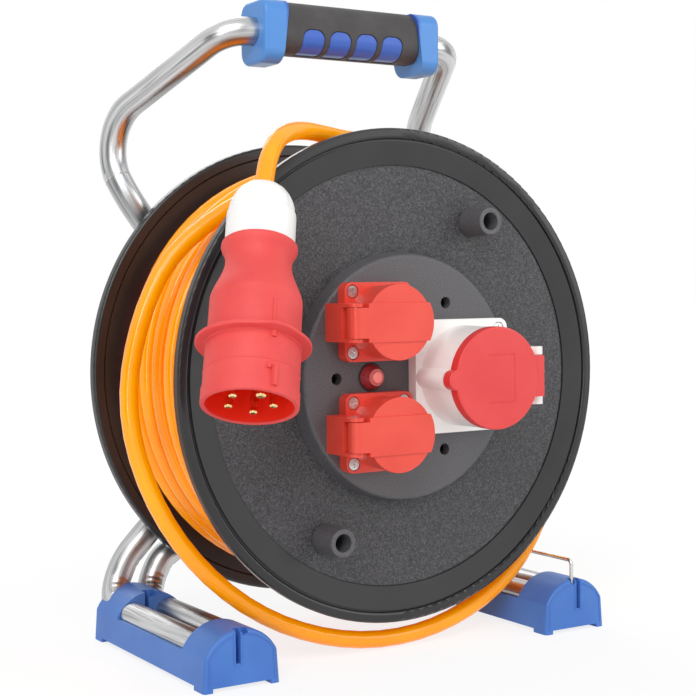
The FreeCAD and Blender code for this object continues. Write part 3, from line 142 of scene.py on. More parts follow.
def moulded(name, dark, light, grain_mm, grain_depth_mm, roughness, **values):
    """Injection moulded plastic: the mould's fine grain, and a faint cloud left by the flow."""
    finish = Finish(name, **values)
    cloud = finish.node("ShaderNodeTexNoise", {
        "Vector": finish.place, "Scale": 1 / (MOULDED_CLOUD * MM), "Detail": 3})
    colour = finish.node("ShaderNodeValToRGB", {"Fac": cloud.outputs["Fac"]},
                         ((0.3, dark), (0.7, light)))
    grain = finish.node("ShaderNodeTexNoise", {
        "Vector": finish.place, "Scale": 1 / (grain_mm * MM), "Detail": 1})
    gloss = finish.node("ShaderNodeMapRange", {
        "Value": grain.outputs["Fac"], "From Min": 0.3, "From Max": 0.7,
        "To Min": roughness - MOULDED_GLOSS_SPREAD, "To Max": roughness + MOULDED_GLOSS_SPREAD})
    relief = finish.node("ShaderNodeBump", {
        "Height": grain.outputs["Fac"], "Distance": grain_depth_mm * MM})
    finish.give(base_color=colour.outputs["Color"], roughness=gloss.outputs["Result"],
                normal=relief.outputs["Normal"])
    return finish.material


# The step in the flanges' faces, and how deep behind the front rim the full roughness ends
FLANGE_STEP_RADII = (131.6, 132)
FLANGE_FACE_DEPTHS = (20, 21)


def flange_polyamide():
    """Glass filled polyamide of the flanges, moulded: a speckled, eroded face inside the step and a
    smooth ring outside it. The grain of about 0.4 mm is drawn at 0.65 mm so that it shows."""
    finish = Finish("flange_polyamide_eroded", ior=1.5)
    parts = finish.node("ShaderNodeSeparateXYZ", {"Vector": finish.place}).outputs
    height = finish.node("ShaderNodeMath", {0: parts["Z"], 1: AXLE_HEIGHT * MM},
                         operation="SUBTRACT").outputs[0]
    spoke = finish.node("ShaderNodeCombineXYZ", {"X": parts["X"], "Z": height}).outputs["Vector"]
    radius = finish.node("ShaderNodeVectorMath", {0: spoke}, operation="LENGTH").outputs["Value"]
    inside = finish.node("ShaderNodeMapRange", {
        "Value": radius,
        "From Min": FLANGE_STEP_RADII[0] * MM, "From Max": FLANGE_STEP_RADII[1] * MM,
        "To Min": 1, "To Max": 0}).outputs["Result"]
    front = finish.node("ShaderNodeMapRange", {
        "Value": parts["Y"],
        "From Min": (RIM_Y + FLANGE_FACE_DEPTHS[0]) * MM,
        "From Max": (RIM_Y + FLANGE_FACE_DEPTHS[1]) * MM,
        "To Min": 1, "To Max": 0.25}).outputs["Result"]
    eroded = finish.node("ShaderNodeMath", {0: inside, 1: front}, operation="MULTIPLY").outputs[0]
    fine = finish.node("ShaderNodeTexNoise", {
        "Vector": finish.place, "Scale": 1 / (0.65 * MM), "Detail": 1.5, "Roughness": 0.7})
    coarse = finish.node("ShaderNodeTexNoise", {
        "Vector": finish.place, "Scale": 1 / (1.9 * MM), "Detail": 1})
    mixed = finish.node("ShaderNodeMix", {
        0: 0.25, 2: fine.outputs["Fac"], 3: coarse.outputs["Fac"]}).outputs[0]
    cloud = finish.node("ShaderNodeTexNoise", {
        "Vector": finish.place, "Scale": 1 / (45 * MM), "Detail": 3})
    smooth_ring = finish.node("ShaderNodeValToRGB", {"Fac": cloud.outputs["Fac"]},
                              ((0.3, "#202022"), (0.7, "#29292b")))
    speckled = finish.node("ShaderNodeValToRGB", {"Fac": mixed},
                           ((0.42, "#2a2a2c"), (0.68, "#636265")))
    colour = finish.node("ShaderNodeMix", {
        0: eroded, 6: smooth_ring.outputs["Color"], 7: speckled.outputs["Color"]},
        data_type="RGBA")
    gloss = finish.node("ShaderNodeMapRange", {"Value": eroded, "To Min": 0.27, "To Max": 0.6})
    depth = finish.node("ShaderNodeMath", {0: mixed, 1: eroded}, operation="MULTIPLY")
    relief = finish.node("ShaderNodeBump", {"Height": depth.outputs[0], "Distance": 0.3 * MM})
    finish.give(base_color=colour.outputs[2], roughness=gloss.outputs["Result"],
                normal=relief.outputs["Normal"])
    return finish.material


def panel_polyamide():
    """The same polyamide in the socket panel and the posts: a finer, evener grain."""
    finish = Finish("panel_polyamide_fine_grain", ior=1.5)
    grain = finish.node("ShaderNodeTexNoise", {
        "Vector": finish.place, "Scale": 1 / (0.7 * MM), "Detail": 2})
    colour = finish.node("ShaderNodeValToRGB", {"Fac": grain.outputs["Fac"]},
                         ((0.36, "#4b4a4d"), (0.72, "#69686b")))
    gloss = finish.node("ShaderNodeMapRange", {
        "Value": grain.outputs["Fac"], "From Min": 0.3, "From Max": 0.7,
        "To Min": 0.42, "To Max": 0.56})
    relief = finish.node("ShaderNodeBump", {"Height": grain.outputs["Fac"], "Distance": 0.12 * MM})
    finish.give(base_color=colour.outputs["Color"], roughness=gloss.outputs["Result"],
                normal=relief.outputs["Normal"])
    return finish.material


def galvanised_tube():
    """Galvanised, drawn steel tube: satin grey, with lengthwise draw lines and streaks. The draw
    lines of about 0.3 mm are drawn at 0.9 mm so that they show."""
    finish = Finish("galvanised_steel_tube", metallic=1.0)
    unrolled = finish.node("ShaderNodeAttribute", attribute_name="unrolled").outputs["Vector"]
    drawn = finish.node("ShaderNodeMapping", {"Vector": unrolled, "Scale": (0.02, 1, 1)})
    lines = finish.node("ShaderNodeTexNoise", {
        "Vector": drawn.outputs["Vector"], "Scale": 1 / (0.9 * MM), "Detail": 2})
    streaks = finish.node("ShaderNodeTexNoise", {
        "Vector": drawn.outputs["Vector"], "Scale": 1 / (4 * MM), "Detail": 3})
    scored = finish.node("ShaderNodeValToRGB", {"Fac": lines.outputs["Fac"]},
                         ((0.32, "#9b9c9d"), (0.46, "#ffffff")))
    zinc = finish.node("ShaderNodeValToRGB", {"Fac": streaks.outputs["Fac"]},
                       ((0.36, "#a4a5a6"), (0.62, "#dedede")))
    colour = finish.node("ShaderNodeMix", {
        0: 0.7, 6: zinc.outputs["Color"], 7: scored.outputs["Color"]},
        data_type="RGBA", blend_type="MULTIPLY")
    gloss = finish.node("ShaderNodeMapRange", {
        "Value": streaks.outputs["Fac"], "From Min": 0.3, "From Max": 0.7,
        "To Min": 0.36, "To Max": 0.28})
    relief = finish.node("ShaderNodeBump", {"Height": lines.outputs["Fac"], "Distance": 0.03 * MM})
    finish.give(base_color=colour.outputs[2], roughness=gloss.outputs["Result"],
                normal=relief.outputs["Normal"])
    return finish.material


def zinc_plated_steel():
    """Zinc plated steel of the axle, plate, bail and screws: bright grey, faintly clouded."""
    finish = Finish("zinc_plated_steel", metallic=1.0)
    cloud = finish.node("ShaderNodeTexNoise", {
        "Vector": finish.place, "Scale": 1 / (6 * MM), "Detail": 4})
    colour = finish.node("ShaderNodeValToRGB", {"Fac": cloud.outputs["Fac"]},
                         ((0.3, "#c2c4c4"), (0.7, "#e9eae8")))
    gloss = finish.node("ShaderNodeMapRange", {
        "Value": cloud.outputs["Fac"], "From Min": 0.3, "From Max": 0.7,
        "To Min": 0.18, "To Max": 0.32})
    finish.give(base_color=colour.outputs["Color"], roughness=gloss.outputs["Result"])
    return finish.material


def polished_brass():
    """Turned brass of the pins and sleeves: warm and polished, with a faint tarnish."""
    finish = Finish("brass_turned_polished", metallic=1.0)
    cloud = finish.node("ShaderNodeTexNoise", {
        "Vector": finish.place, "Scale": 1 / (2.5 * MM), "Detail": 3})
    colour = finish.node("ShaderNodeValToRGB", {"Fac": cloud.outputs["Fac"]},
                         ((0.3, "#f0cc80"), (0.7, "#ffeab4")))
    gloss = finish.node("ShaderNodeMapRange", {
        "Value": cloud.outputs["Fac"], "From Min": 0.3, "From Max": 0.7,
        "To Min": 0.16, "To Max": 0.28})
    finish.give(base_color=colour.outputs["Color"], roughness=gloss.outputs["Result"])
    return finish.material


def cable_sheath():
    """Extruded polyurethane sheath in signal orange: glossy, with crisp bright lines along it. The
    little light it gives off is an aid to the look, which keeps the orange full in the shade."""
    finish = Finish("cable_sheath_polyurethane", ior=1.5, emission_color=linear("#ff7600"),
                    emission_strength=0.17)
    cloud = finish.node("ShaderNodeTexNoise", {
        "Vector": finish.place, "Scale": 1 / (35 * MM), "Detail": 3})
    colour = finish.node("ShaderNodeValToRGB", {"Fac": cloud.outputs["Fac"]},
                         ((0.3, "#ff9f00"), (0.7, "#ffae00")))
    waves = finish.node("ShaderNodeTexNoise", {
        "Vector": finish.place, "Scale": 1 / (6 * MM), "Detail": 2})
    gloss = finish.node("ShaderNodeMapRange", {
        "Value": waves.outputs["Fac"], "From Min": 0.3, "From Max": 0.7,
        "To Min": 0.11, "To Max": 0.18})
    relief = finish.node("ShaderNodeBump", {"Height": waves.outputs["Fac"], "Distance": 0.03 * MM})
    finish.give(base_color=colour.outputs["Color"], roughness=gloss.outputs["Result"],
                normal=relief.outputs["Normal"])
    return finish.material


def grip_elastomer():
    """Thermoplastic elastomer moulded over the grip: matt dark grey with a fine pebbled grain."""
    finish = Finish("grip_elastomer_pebbled", ior=1.5, sheen_weight=0.06)
    pebbles = finish.node("ShaderNodeTexVoronoi", {
        "Vector": finish.place, "Scale": 1 / (0.9 * MM)})
    cloud = finish.node("ShaderNodeTexNoise", {
        "Vector": finish.place, "Scale": 1 / (20 * MM), "Detail": 3})
    colour = finish.node("ShaderNodeValToRGB", {"Fac": cloud.outputs["Fac"]},
                         ((0.3, "#3c3a3b"), (0.7, "#4a4849")))
    gloss = finish.node("ShaderNodeMapRange", {
        "Value": pebbles.outputs["Distance"], "To Max": 0.75, "To Min": 0.6})
    relief = finish.node("ShaderNodeBump", {
        "Height": pebbles.outputs["Distance"], "Distance": 0.06 * MM})
    finish.give(base_color=colour.outputs["Color"], roughness=gloss.outputs["Result"],
                normal=relief.outputs["Normal"])
    return finish.material


# How far from the grip's middle its shells turn from the fingers' blue to the ends' lighter one
SHELL_END_X = (50, 52)


def grip_shell():
    """Moulded polypropylene of the grip's shells: satin blue, lighter at the ends than at the
    fingers that show through the cover."""
    finish = Finish("grip_polypropylene_blue", ior=1.49)
    across = finish.node("ShaderNodeSeparateXYZ", {"Vector": finish.place}).outputs["X"]
    from_middle = finish.node("ShaderNodeMath", {0: across}, operation="ABSOLUTE").outputs[0]
    ends = finish.node("ShaderNodeMapRange", {
        "Value": from_middle, "From Min": SHELL_END_X[0] * MM, "From Max": SHELL_END_X[1] * MM})
    colour = finish.node("ShaderNodeMix", {
        0: ends.outputs["Result"], 6: linear("#3a63c0"), 7: linear("#4f8cd4")},
        data_type="RGBA")
    grain = finish.node("ShaderNodeTexNoise", {
        "Vector": finish.place, "Scale": 1 / (0.8 * MM), "Detail": 1})
    gloss = finish.node("ShaderNodeMapRange", {
        "Value": grain.outputs["Fac"], "From Min": 0.3, "From Max": 0.7,
        "To Min": 0.28, "To Max": 0.38})
    relief = finish.node("ShaderNodeBump", {"Height": grain.outputs["Fac"], "Distance": 0.03 * MM})
    finish.give(base_color=colour.outputs[2], roughness=gloss.outputs["Result"],
                normal=relief.outputs["Normal"])
    return finish.material


def screw_steel():
    """Steel of the panel's sunk screws, painted near black as the shade deep in the panel's holes:
    dull.
    """
    return Finish("sunk_screw_painted_shade", metallic=1.0, base_color=linear("#191919"),
                  roughness=0.5).material


# How deep behind the button's tip its pale colour fades out
PALE_TIP_DEPTHS = (1.0, 1.5)


def boot_silicone():
    """Moulded silicone boot over the reset button: cloudy wine red that lets light in, with the
    pale button shining through at its tip."""
    finish = Finish("boot_silicone_moulded", ior=1.41, subsurface_weight=0.3,
                    subsurface_scale=0.003, roughness=0.28)
    depth = finish.node("ShaderNodeSeparateXYZ", {"Vector": finish.place}).outputs["Y"]
    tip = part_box("reset_button")[0].y
    pale = finish.node("ShaderNodeMapRange", {
        "Value": depth, "From Min": tip + PALE_TIP_DEPTHS[0] * MM,
        "From Max": tip + PALE_TIP_DEPTHS[1] * MM, "To Min": 1, "To Max": 0})
    cloud = finish.node("ShaderNodeTexNoise", {
        "Vector": finish.place, "Scale": 1 / (3 * MM), "Detail": 2})
    wine = finish.node("ShaderNodeValToRGB", {"Fac": cloud.outputs["Fac"]},
                       ((0.3, "#8a2c30"), (0.7, "#a8444a")))
    colour = finish.node("ShaderNodeMix", {
        0: pale.outputs["Result"], 6: wine.outputs["Color"], 7: linear("#ff9a92")},
        data_type="RGBA")
    finish.give(base_color=colour.outputs[2])
    return finish.material


FINISH = {
    "flange": flange_polyamide(),
    "panel": panel_polyamide(),
    "tube": galvanised_tube(),
    "zinc": zinc_plated_steel(),
    "brass": polished_brass(),
    "cable": cable_sheath(),
    "grip": grip_elastomer(),
    "boot": boot_silicone(),
    "shaded_screw": screw_steel(),
    # moulded polypropylene of the feet: satin blue, a little waxy
    "blue": moulded("foot_polypropylene_blue", "#4173c3", "#4b7ecc", 0.8, 0.04, 0.45, ior=1.49),
    "shell": grip_shell(),
    # moulded polyamide of the outlets and their lids: orange red, satin
    "red": moulded("outlet_polyamide_red", "#e14333", "#e94f3f", 0.6, 0.02, 0.36, ior=1.53),
    # moulded polyamide of the five-pole lid: a cooler, smoother red
    "lid": moulded("lid_polyamide_red", "#da3736", "#e24241", 0.6, 0.02, 0.34, ior=1.53),
    # moulded polyamide of the plug: pinkish red, matt, with a little light let in
    "plug": moulded("plug_polyamide_red", "#de4442", "#e8504d", 0.7, 0.03, 0.58, ior=1.53,
                    subsurface_weight=0.08, subsurface_scale=0.003),
    # the same inside the plug's mouth, painted a deep red there: painted shade and red bounce light
    # in the mouth
    "mouth": moulded("plug_mouth_painted_shade_red", "#fb2a14", "#ff341c", 0.7, 0.02, 0.4, ior=1.53,
                     subsurface_weight=0.2, subsurface_scale=0.004),
    # moulded polyamide of the nut and the socket's housing: clean white
    "white": moulded("socket_polyamide_white", "#f6f5f2", "#fbfaf8", 0.6, 0.02, 0.36, ior=1.53),
    # moulded polyamide of inner pieces: plain black
    "black": moulded("inner_polyamide_black", "#1d1d1e", "#272728", 0.6, 0.02, 0.45, ior=1.5),
    # moulded rubber of the seals: dull black
    "seal": moulded("seal_rubber_black", "#1a1a1a", "#242424", 0.5, 0.02, 0.6, ior=1.52),
}

CAD_FINISH = {
    "flange": ("front_flange", "rear_flange", "drum_core"),
    "panel": ("socket_panel", "knob_post_upper", "knob_post_lower"),
    "tube": ("handle_tube_left", "handle_tube_right", "base_tube", "tube_joiner"),
    "zinc": ("hub_plate", "axle", "axle_clip", "axle_washer", "axle_nut",
             "foot_screws", "wire_bail", "grip_screws", "outlet_screws", "five_pole_screws",
             "outlet_upper_hinge_pin", "outlet_lower_hinge_pin", "five_pole_hinge_pin",
             "outlet_upper_spring", "outlet_lower_spring", "five_pole_spring"),
    # the panel's sunk screws are painted near black: painted shade deep in their holes
    "shaded_screw": ("panel_screws",),
    "brass": ("outlet_upper_contacts", "outlet_lower_contacts", "five_pole_contacts", "plug_pins"),
    "grip": ("grip_cover_front", "grip_cover_rear"),
    "blue": ("foot_left", "foot_right"),
    "shell": ("grip_shell_front", "grip_shell_rear"),
    "red": ("outlet_upper_housing", "outlet_lower_housing", "outlet_upper_lid", "outlet_lower_lid",
            "outlet_upper_carrier", "outlet_lower_carrier", "five_pole_carrier"),
    "lid": ("five_pole_lid",),
    "plug": ("plug_body",),
    "mouth": ("plug_insert",),
    "white": ("five_pole_housing", "plug_gland_nut", "axle_bushes", "terminal_block"),
    "black": ("thermal_cutout", "reset_bezel", "cable_gland"),
    "seal": ("five_pole_seal", "plug_seal"),
    "cable": ("cable_winding", "cable_winding_core", "cable_loose"),
    "boot": ("reset_button",),
}

for finish_name, node_names in CAD_FINISH.items():
    for node_name in node_names:
        cad[node_name].data.materials.clear()
        cad[node_name].data.materials.append(FINISH[finish_name])


# Making meshes

# Angles in degrees over which an edge stays sharp in the shading, or is broken by soften
CREASE = 32
BROKEN_CREASE = 28
BROKEN_STEPS = 2
# Before edges are broken, points nearer than this are joined, and faces flatter than this angle
WELD_DISTANCE = 0.002
FLAT_ANGLE = 0.8
# A raised line's section: across as a share of its width, and up as a share of its height
RIDGE_SECTION = ((-0.5, -0.2), (-0.5, 0.4), (-0.25, 1), (0.25, 1), (0.5, 0.4), (0.5, -0.2))
# on_front looks for a piece's front from here, against the way that the front faces
BEFORE_FRONT_Y = -200
FRONT = Vector((0, -1, 0))


def skin(rings, sides, closed=False):
    """Faces along rings of points, closed back to the first ring or capped at both ends."""
    faces = []
    for index in range(rings if closed else rings - 1):
        ring = index * sides
        after = (index + 1) % rings * sides
        for step in range(sides):
            follow = (step + 1) % sides
            faces.append((ring + step, ring + follow, after + follow, after + step))
    if not closed:
        faces.append(tuple(range(sides)))
        faces.append(tuple(range((rings - 1) * sides, rings * sides)))
    return faces


def add_mesh(name, points, faces, body, finish, crease=CREASE, second=None, second_faces=()):
    """A piece from points in metres, with smooth faces and sharp creases, riding on a body."""
    mesh = bpy.data.meshes.new(name)
    mesh.from_pydata(points, [], faces)
    mesh.materials.append(FINISH[finish])
    if second:
        mesh.materials.append(FINISH[second])
        for index in second_faces:
            mesh.polygons[index].material_index = 1
    shape = bmesh.new()
    shape.from_mesh(mesh)
    bmesh.ops.recalc_face_normals(shape, faces=shape.faces)
    shape.to_mesh(mesh)
    shape.free()
    return finish_mesh(bpy.data.objects.new(name, mesh), body, crease)


def finish_mesh(piece, body, crease=CREASE):
    """Smooth shading with sharp creases, a place in the scene, and the piece's body."""
    mesh = piece.data
    mesh.polygons.foreach_set("use_smooth", [True] * len(mesh.polygons))
    mesh.set_sharp_from_angle(angle=math.radians(crease))
    bpy.context.scene.collection.objects.link(piece)
    modifier = piece.modifiers.new("weighted_normals", "WEIGHTED_NORMAL")
    modifier.keep_sharp = True
    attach(piece, body)
    return piece


def soften(node, finish, width, body):
    """Stands for a CAD node: the same form with its edges broken to width millimetres."""
    mesh = cad[node].data.copy()
    mesh.name = node + "_softened"
    shape = bmesh.new()
    shape.from_mesh(mesh)
    bmesh.ops.remove_doubles(shape, verts=shape.verts, dist=WELD_DISTANCE * MM)
    bmesh.ops.dissolve_limit(shape, angle_limit=math.radians(FLAT_ANGLE), verts=shape.verts,
                             edges=shape.edges)
    limit = math.radians(BROKEN_CREASE)
    sharp = [edge for edge in shape.edges
             if len(edge.link_faces) == 2 and edge.calc_face_angle(0) > limit]
    bmesh.ops.bevel(shape, geom=sharp, offset=width * MM, segments=BROKEN_STEPS, profile=0.5,
                    affect="EDGES", clamp_overlap=True)
    bmesh.ops.triangulate(shape, faces=[face for face in shape.faces if len(face.verts) > 4])
    shape.to_mesh(mesh)
    shape.free()
    mesh.materials.clear()
    mesh.materials.append(FINISH[finish])
    piece = finish_mesh(bpy.data.objects.new(node + "_softened", mesh), body)
    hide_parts(node)


def ridge(name, line, normal, width, height, body, finish):
    """A raised line along points in millimetres: its sides slope, and it sinks a little into its
    face."""
    points = []
    for index, place in enumerate(line):
        before = line[max(index - 1, 0)]
        after = line[min(index + 1, len(line) - 1)]
        side = (after - before).normalized().cross(normal)
        for across, rise in RIDGE_SECTION:
            points.append(at(*(place + side * (across * width) + normal * (rise * height))))
    faces = skin(len(line), len(RIDGE_SECTION))
    return add_mesh(name, points, faces, body, finish)


def on_front(node, spots):
    """The points of a CAD node's front at each x and z, in millimetres."""
    mesh = cad[node].data
    surface = BVHTree.FromPolygons([corner.co for corner in mesh.vertices],
                                   [face.vertices for face in mesh.polygons])
    hits = [surface.ray_cast(at(x, BEFORE_FRONT_Y, z), -FRONT)[0] for x, z in spots]
    return [Vector((x, hit.y / MM - RIM_Y, z)) for (x, z), hit in zip(spots, hits)]


# Steel tubes of the stand

TUBE_RADIUS = 9
TUBE_WALL = 1.5
TUBE_SIDES = 40
TUBE_CREASE = 50
# How deep the open ends are drawn hollow
TUBE_SOCKET = 14
TUBE_Y = 152.5
GRIP_Y = 68.4
GRIP_Z = 393.6
LEG_Z = 20
OUTER_LEG_X = 137.5
INNER_LEG_X = 112.5
LEG_FRONT_Y = -6
# The longest steps between rings of points in bends and in straight runs
BEND_STEP = 0.9
RUN_STEP = 15
# Bending leaves fine wrinkles on the inner side and flattens the outer side a little
WRINKLE_PITCH = 6
WRINKLE_DEPTH = 0.5
OUTER_FLATTENING = 0.5

# Each tube's middle line by its corners, with the radius of each bend and which bends are wrinkled
HANDLE_CORNERS = (
    (0, GRIP_Y, GRIP_Z),
    (86, GRIP_Y, GRIP_Z),
    (129, 178, 338),
    (120, TUBE_Y, 295),
    (18, TUBE_Y, 158),
    (124, TUBE_Y, 50),
    (OUTER_LEG_X, TUBE_Y, LEG_Z),
    (OUTER_LEG_X, LEG_FRONT_Y, LEG_Z),
)
HANDLE_BENDS = (24, 36, 45, 38, 40, 23)
HANDLE_WRINKLES = (0, 0, 0, 0, 1, 1)
BASE_CORNERS = (
    (INNER_LEG_X, LEG_FRONT_Y, LEG_Z),
    (INNER_LEG_X, TUBE_Y, LEG_Z),
    (98, TUBE_Y, 47),
    (66, TUBE_Y, 68),
)
BASE_BENDS = (23, 20, 40)
BASE_WRINKLES = (1, 1, 0)


def straight_run(start, end):
    """Places along a straight run, without its start, in the form that bent_line gives."""
    count = math.ceil((end - start).length / RUN_STEP)
    return [(start.lerp(end, index / count), 0, Vector()) for index in range(1, count + 1)]


def bent_line(corners, bends, wrinkles):
    """Places along straight runs joined by arcs, each with its share of wrinkles and the way in."""
    line = [(corners[0], 0, Vector())]
    start = corners[0]
    corner_trios = zip(corners, corners[1:], corners[2:])
    for (before, corner, after), bend, wrinkled in zip(corner_trios, bends, wrinkles):
        inward = (corner - before).normalized()
        outward = (after - corner).normalized()
        half_turn = inward.angle(outward) / 2
        arc_start = corner - inward * (bend * math.tan(half_turn))
        line += straight_run(start, arc_start)
        center = corner + (outward - inward).normalized() * (bend / math.cos(half_turn))
        normal = inward.cross(outward).normalized()
        count = math.ceil(2 * half_turn * bend / BEND_STEP)
        for index in range(1, count + 1):
            turn = Matrix.Rotation(2 * half_turn * index / count, 3, normal)
            spoke = turn @ (arc_start - center)
            share = wrinkled * math.sin(math.pi * index / count)
            line.append((center + spoke, share, -spoke.normalized()))
        start = line[-1][0]
    return line + straight_run(start, corners[-1])


def make_tube(name, node, corners, bends, wrinkles):
    """A bent tube with open ends. Each point keeps its place on the unrolled tube, for the draw
    lines of its finish."""
    line = bent_line([Vector(corner) for corner in corners], bends, wrinkles)
    first_way = (line[1][0] - line[0][0]).normalized()
    last_way = (line[-1][0] - line[-2][0]).normalized()
    inner = TUBE_RADIUS - TUBE_WALL
    # inner socket and rim of each end, and the outer wall between them
    rings = [(line[0][0] + first_way * TUBE_SOCKET, inner, 0, Vector(), first_way),
             (line[0][0], inner, 0, Vector(), first_way)]
    for index, (place, bent, inward) in enumerate(line):
        way = (line[min(index + 1, len(line) - 1)][0] - line[max(index - 1, 0)][0]).normalized()
        rings.append((place, TUBE_RADIUS, bent, inward, way))
    rings.append((line[-1][0], inner, 0, Vector(), last_way))
    rings.append((line[-1][0] - last_way * TUBE_SOCKET, inner, 0, Vector(), last_way))
    points = []
    unrolled = []
    side = first_way.orthogonal().normalized()
    run = 0
    for index, (place, radius, bent, inward, way) in enumerate(rings):
        run += (place - rings[max(index - 1, 0)][0]).length
        side = (side - way * side.dot(way)).normalized()
        up = way.cross(side)
        wave = 0.5 - 0.5 * math.cos(2 * math.pi * run / WRINKLE_PITCH)
        for step in range(TUBE_SIDES):
            angle = 2 * math.pi * step / TUBE_SIDES
            spoke = side * math.cos(angle) + up * math.sin(angle)
            facing = spoke.dot(inward)
            wrinkle = max(facing, 0) ** 2 * wave
            flattening = OUTER_FLATTENING * max(-facing, 0) ** 3
            dent = WRINKLE_DEPTH * bent * (wrinkle + flattening)
            points.append(at(*(place + spoke * (radius - dent))))
            unrolled.extend(Vector((run, radius * math.cos(angle), radius * math.sin(angle))) * MM)
    tube = add_mesh(name, points, skin(len(rings), TUBE_SIDES), "stand", "tube",
                    TUBE_CREASE)
    stored = tube.data.attributes.new("unrolled", "FLOAT_VECTOR", "POINT")
    stored.data.foreach_set("vector", unrolled)
    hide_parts(node)


make_tube("steel_handle_tube_left", "handle_tube_left",
          [(-x, y, z) for x, y, z in HANDLE_CORNERS], HANDLE_BENDS, HANDLE_WRINKLES)
make_tube("steel_handle_tube_right", "handle_tube_right",
          HANDLE_CORNERS, HANDLE_BENDS, HANDLE_WRINKLES)
make_tube("steel_base_tube", "base_tube",
          [(-x, y, z) for x, y, z in BASE_CORNERS] + list(BASE_CORNERS)[::-1],
          BASE_BENDS + BASE_BENDS[::-1], BASE_WRINKLES + BASE_WRINKLES[::-1])


# Moulded pieces with broken edges: CAD node, finish, edge width in millimetres, body and slot

SOFTENED = (
    ("foot_left", "blue", 0.8, "stand", "blue"),
    ("foot_right", "blue", 0.8, "stand", "blue"),
    ("grip_shell_front", "shell", 0.5, "stand", "blue"),
    ("grip_shell_rear", "shell", 0.5, "stand", "blue"),
    ("grip_cover_front", "grip", 0.35, "stand", "grip"),
    ("grip_cover_rear", "grip", 0.35, "stand", "grip"),
    ("hub_plate", "zinc", 0.5, "stand", "steel"),
    ("axle_nut", "zinc", 0.6, "stand", "zinc"),
    ("front_flange", "flange", 0.6, "drum", "dark"),
    ("rear_flange", "flange", 0.6, "drum", "dark"),
    ("socket_panel", "panel", 0.5, "drum", "panel"),
    ("knob_post_upper", "panel", 0.9, "drum", "dark"),
    ("knob_post_lower", "panel", 0.9, "drum", "dark"),
    ("outlet_upper_housing", "red", 0.45, "drum", "red"),
    ("outlet_lower_housing", "red", 0.45, "drum", "red"),
    ("outlet_upper_lid", "red", 0.35, "outlet_upper_flap", "red"),
    ("outlet_lower_lid", "red", 0.35, "outlet_lower_flap", "red"),
    ("five_pole_housing", "white", 0.5, "drum", "white"),
    ("five_pole_lid", "lid", 0.4, "five_pole_flap", "red"),
    # the bezel is black moulding, and its thin black ring also stands for the shadow gap round the
    # button: partly painted shade
    ("reset_bezel", "black", 0.3, "drum", "black"),
)

for node, finish, width, body, slot in SOFTENED:
    soften(node, finish, width, body)


# Moulded lines on the feet and on the round lid

FOOT_CENTER = 125
FOOT_WIDTH = 50
FOOT_FRONT_Y = -17
FOOT_SHOULDER_Z = 20
FOOT_PEAK_Z = 34.8
# The bail's slot in each foot, and how far from the foot's middle it lies
FOOT_SLOT_X = 2.6
FOOT_SLOT_WIDTH = 3
FOOT_SLOT_Z = 15
# The raised line follows the foot's edge from its bottom, and stops short of the slot
FOOT_LINE_INSET = 3
FOOT_LINE_CORNER = 1
FOOT_LINE_SPLAY = 0.6
FOOT_LINE_BOTTOM_Z = 3
FOOT_LINE_STEPS = 24
FOOT_LINE_WIDTH = 0.9
FOOT_LINE_HEIGHT = 0.45
FOOT_LINE_SLOT_GAP = 2
# A raised lip stands on each side of the slot
SLOT_LIP_Z = (FOOT_SLOT_Z - 1, FOOT_SLOT_Z + 9, FOOT_PEAK_Z - 1.6)
SLOT_LIP_GAP = 0.7
SLOT_LIP_WIDTH = 1.2
SLOT_LIP_HEIGHT = 0.6


def foot_outline():
    """The raised line on a foot's front, as x from its middle and z, left to right."""
    half = FOOT_WIDTH / 2 - FOOT_LINE_INSET - FOOT_LINE_CORNER
    rise = FOOT_PEAK_Z - FOOT_SHOULDER_Z
    radius = ((FOOT_WIDTH / 2) ** 2 + rise ** 2) / (2 * rise)
    center = FOOT_PEAK_Z - radius
    outline = [(-half - FOOT_LINE_SPLAY, FOOT_LINE_BOTTOM_Z)]
    for index in range(FOOT_LINE_STEPS + 1):
        x = half * (2 * index / FOOT_LINE_STEPS - 1)
        outline.append((x, center + math.sqrt((radius - FOOT_LINE_INSET) ** 2 - x * x)))
    outline.append((half + FOOT_LINE_SPLAY, FOOT_LINE_BOTTOM_Z))
    return outline


def make_foot_lines(side, name):
    """The raised line on a foot's front, in two parts, and the two lips of its slot."""
    center = side * FOOT_CENTER
    slot = side * FOOT_SLOT_X
    outline = foot_outline()
    gap = FOOT_SLOT_WIDTH / 2 + FOOT_LINE_SLOT_GAP
    parts = ([point for point in outline if point[0] < slot - gap],
             [point for point in outline if point[0] > slot + gap])
    for index, part in enumerate(parts):
        line = [Vector((center + x, FOOT_FRONT_Y, z)) for x, z in part]
        ridge(f"foot_{name}_line_{index}", line, FRONT, FOOT_LINE_WIDTH, FOOT_LINE_HEIGHT,
              "stand", "blue")
    for index, across in enumerate((-1, 1)):
        x = center + slot + across * (FOOT_SLOT_WIDTH / 2 + SLOT_LIP_GAP)
        line = [Vector((x, FOOT_FRONT_Y, z)) for z in SLOT_LIP_Z]
        ridge(f"foot_{name}_slot_lip_{index}", line, FRONT, SLOT_LIP_WIDTH, SLOT_LIP_HEIGHT,
              "stand", "blue")


make_foot_lines(-1, "left")
make_foot_lines(1, "right")

# The lines on the round lid, from its middle: x and z of their corners
LID_X = 34.5
LID_CORNERS = ((-6.8, 14.5), (12.9, 14.5), (12.9, -14.5), (-6.8, -14.5))
LID_LINE_STEPS = 8
LID_LINE_WIDTH = 0.9
LID_LINE_HEIGHT = 0.4


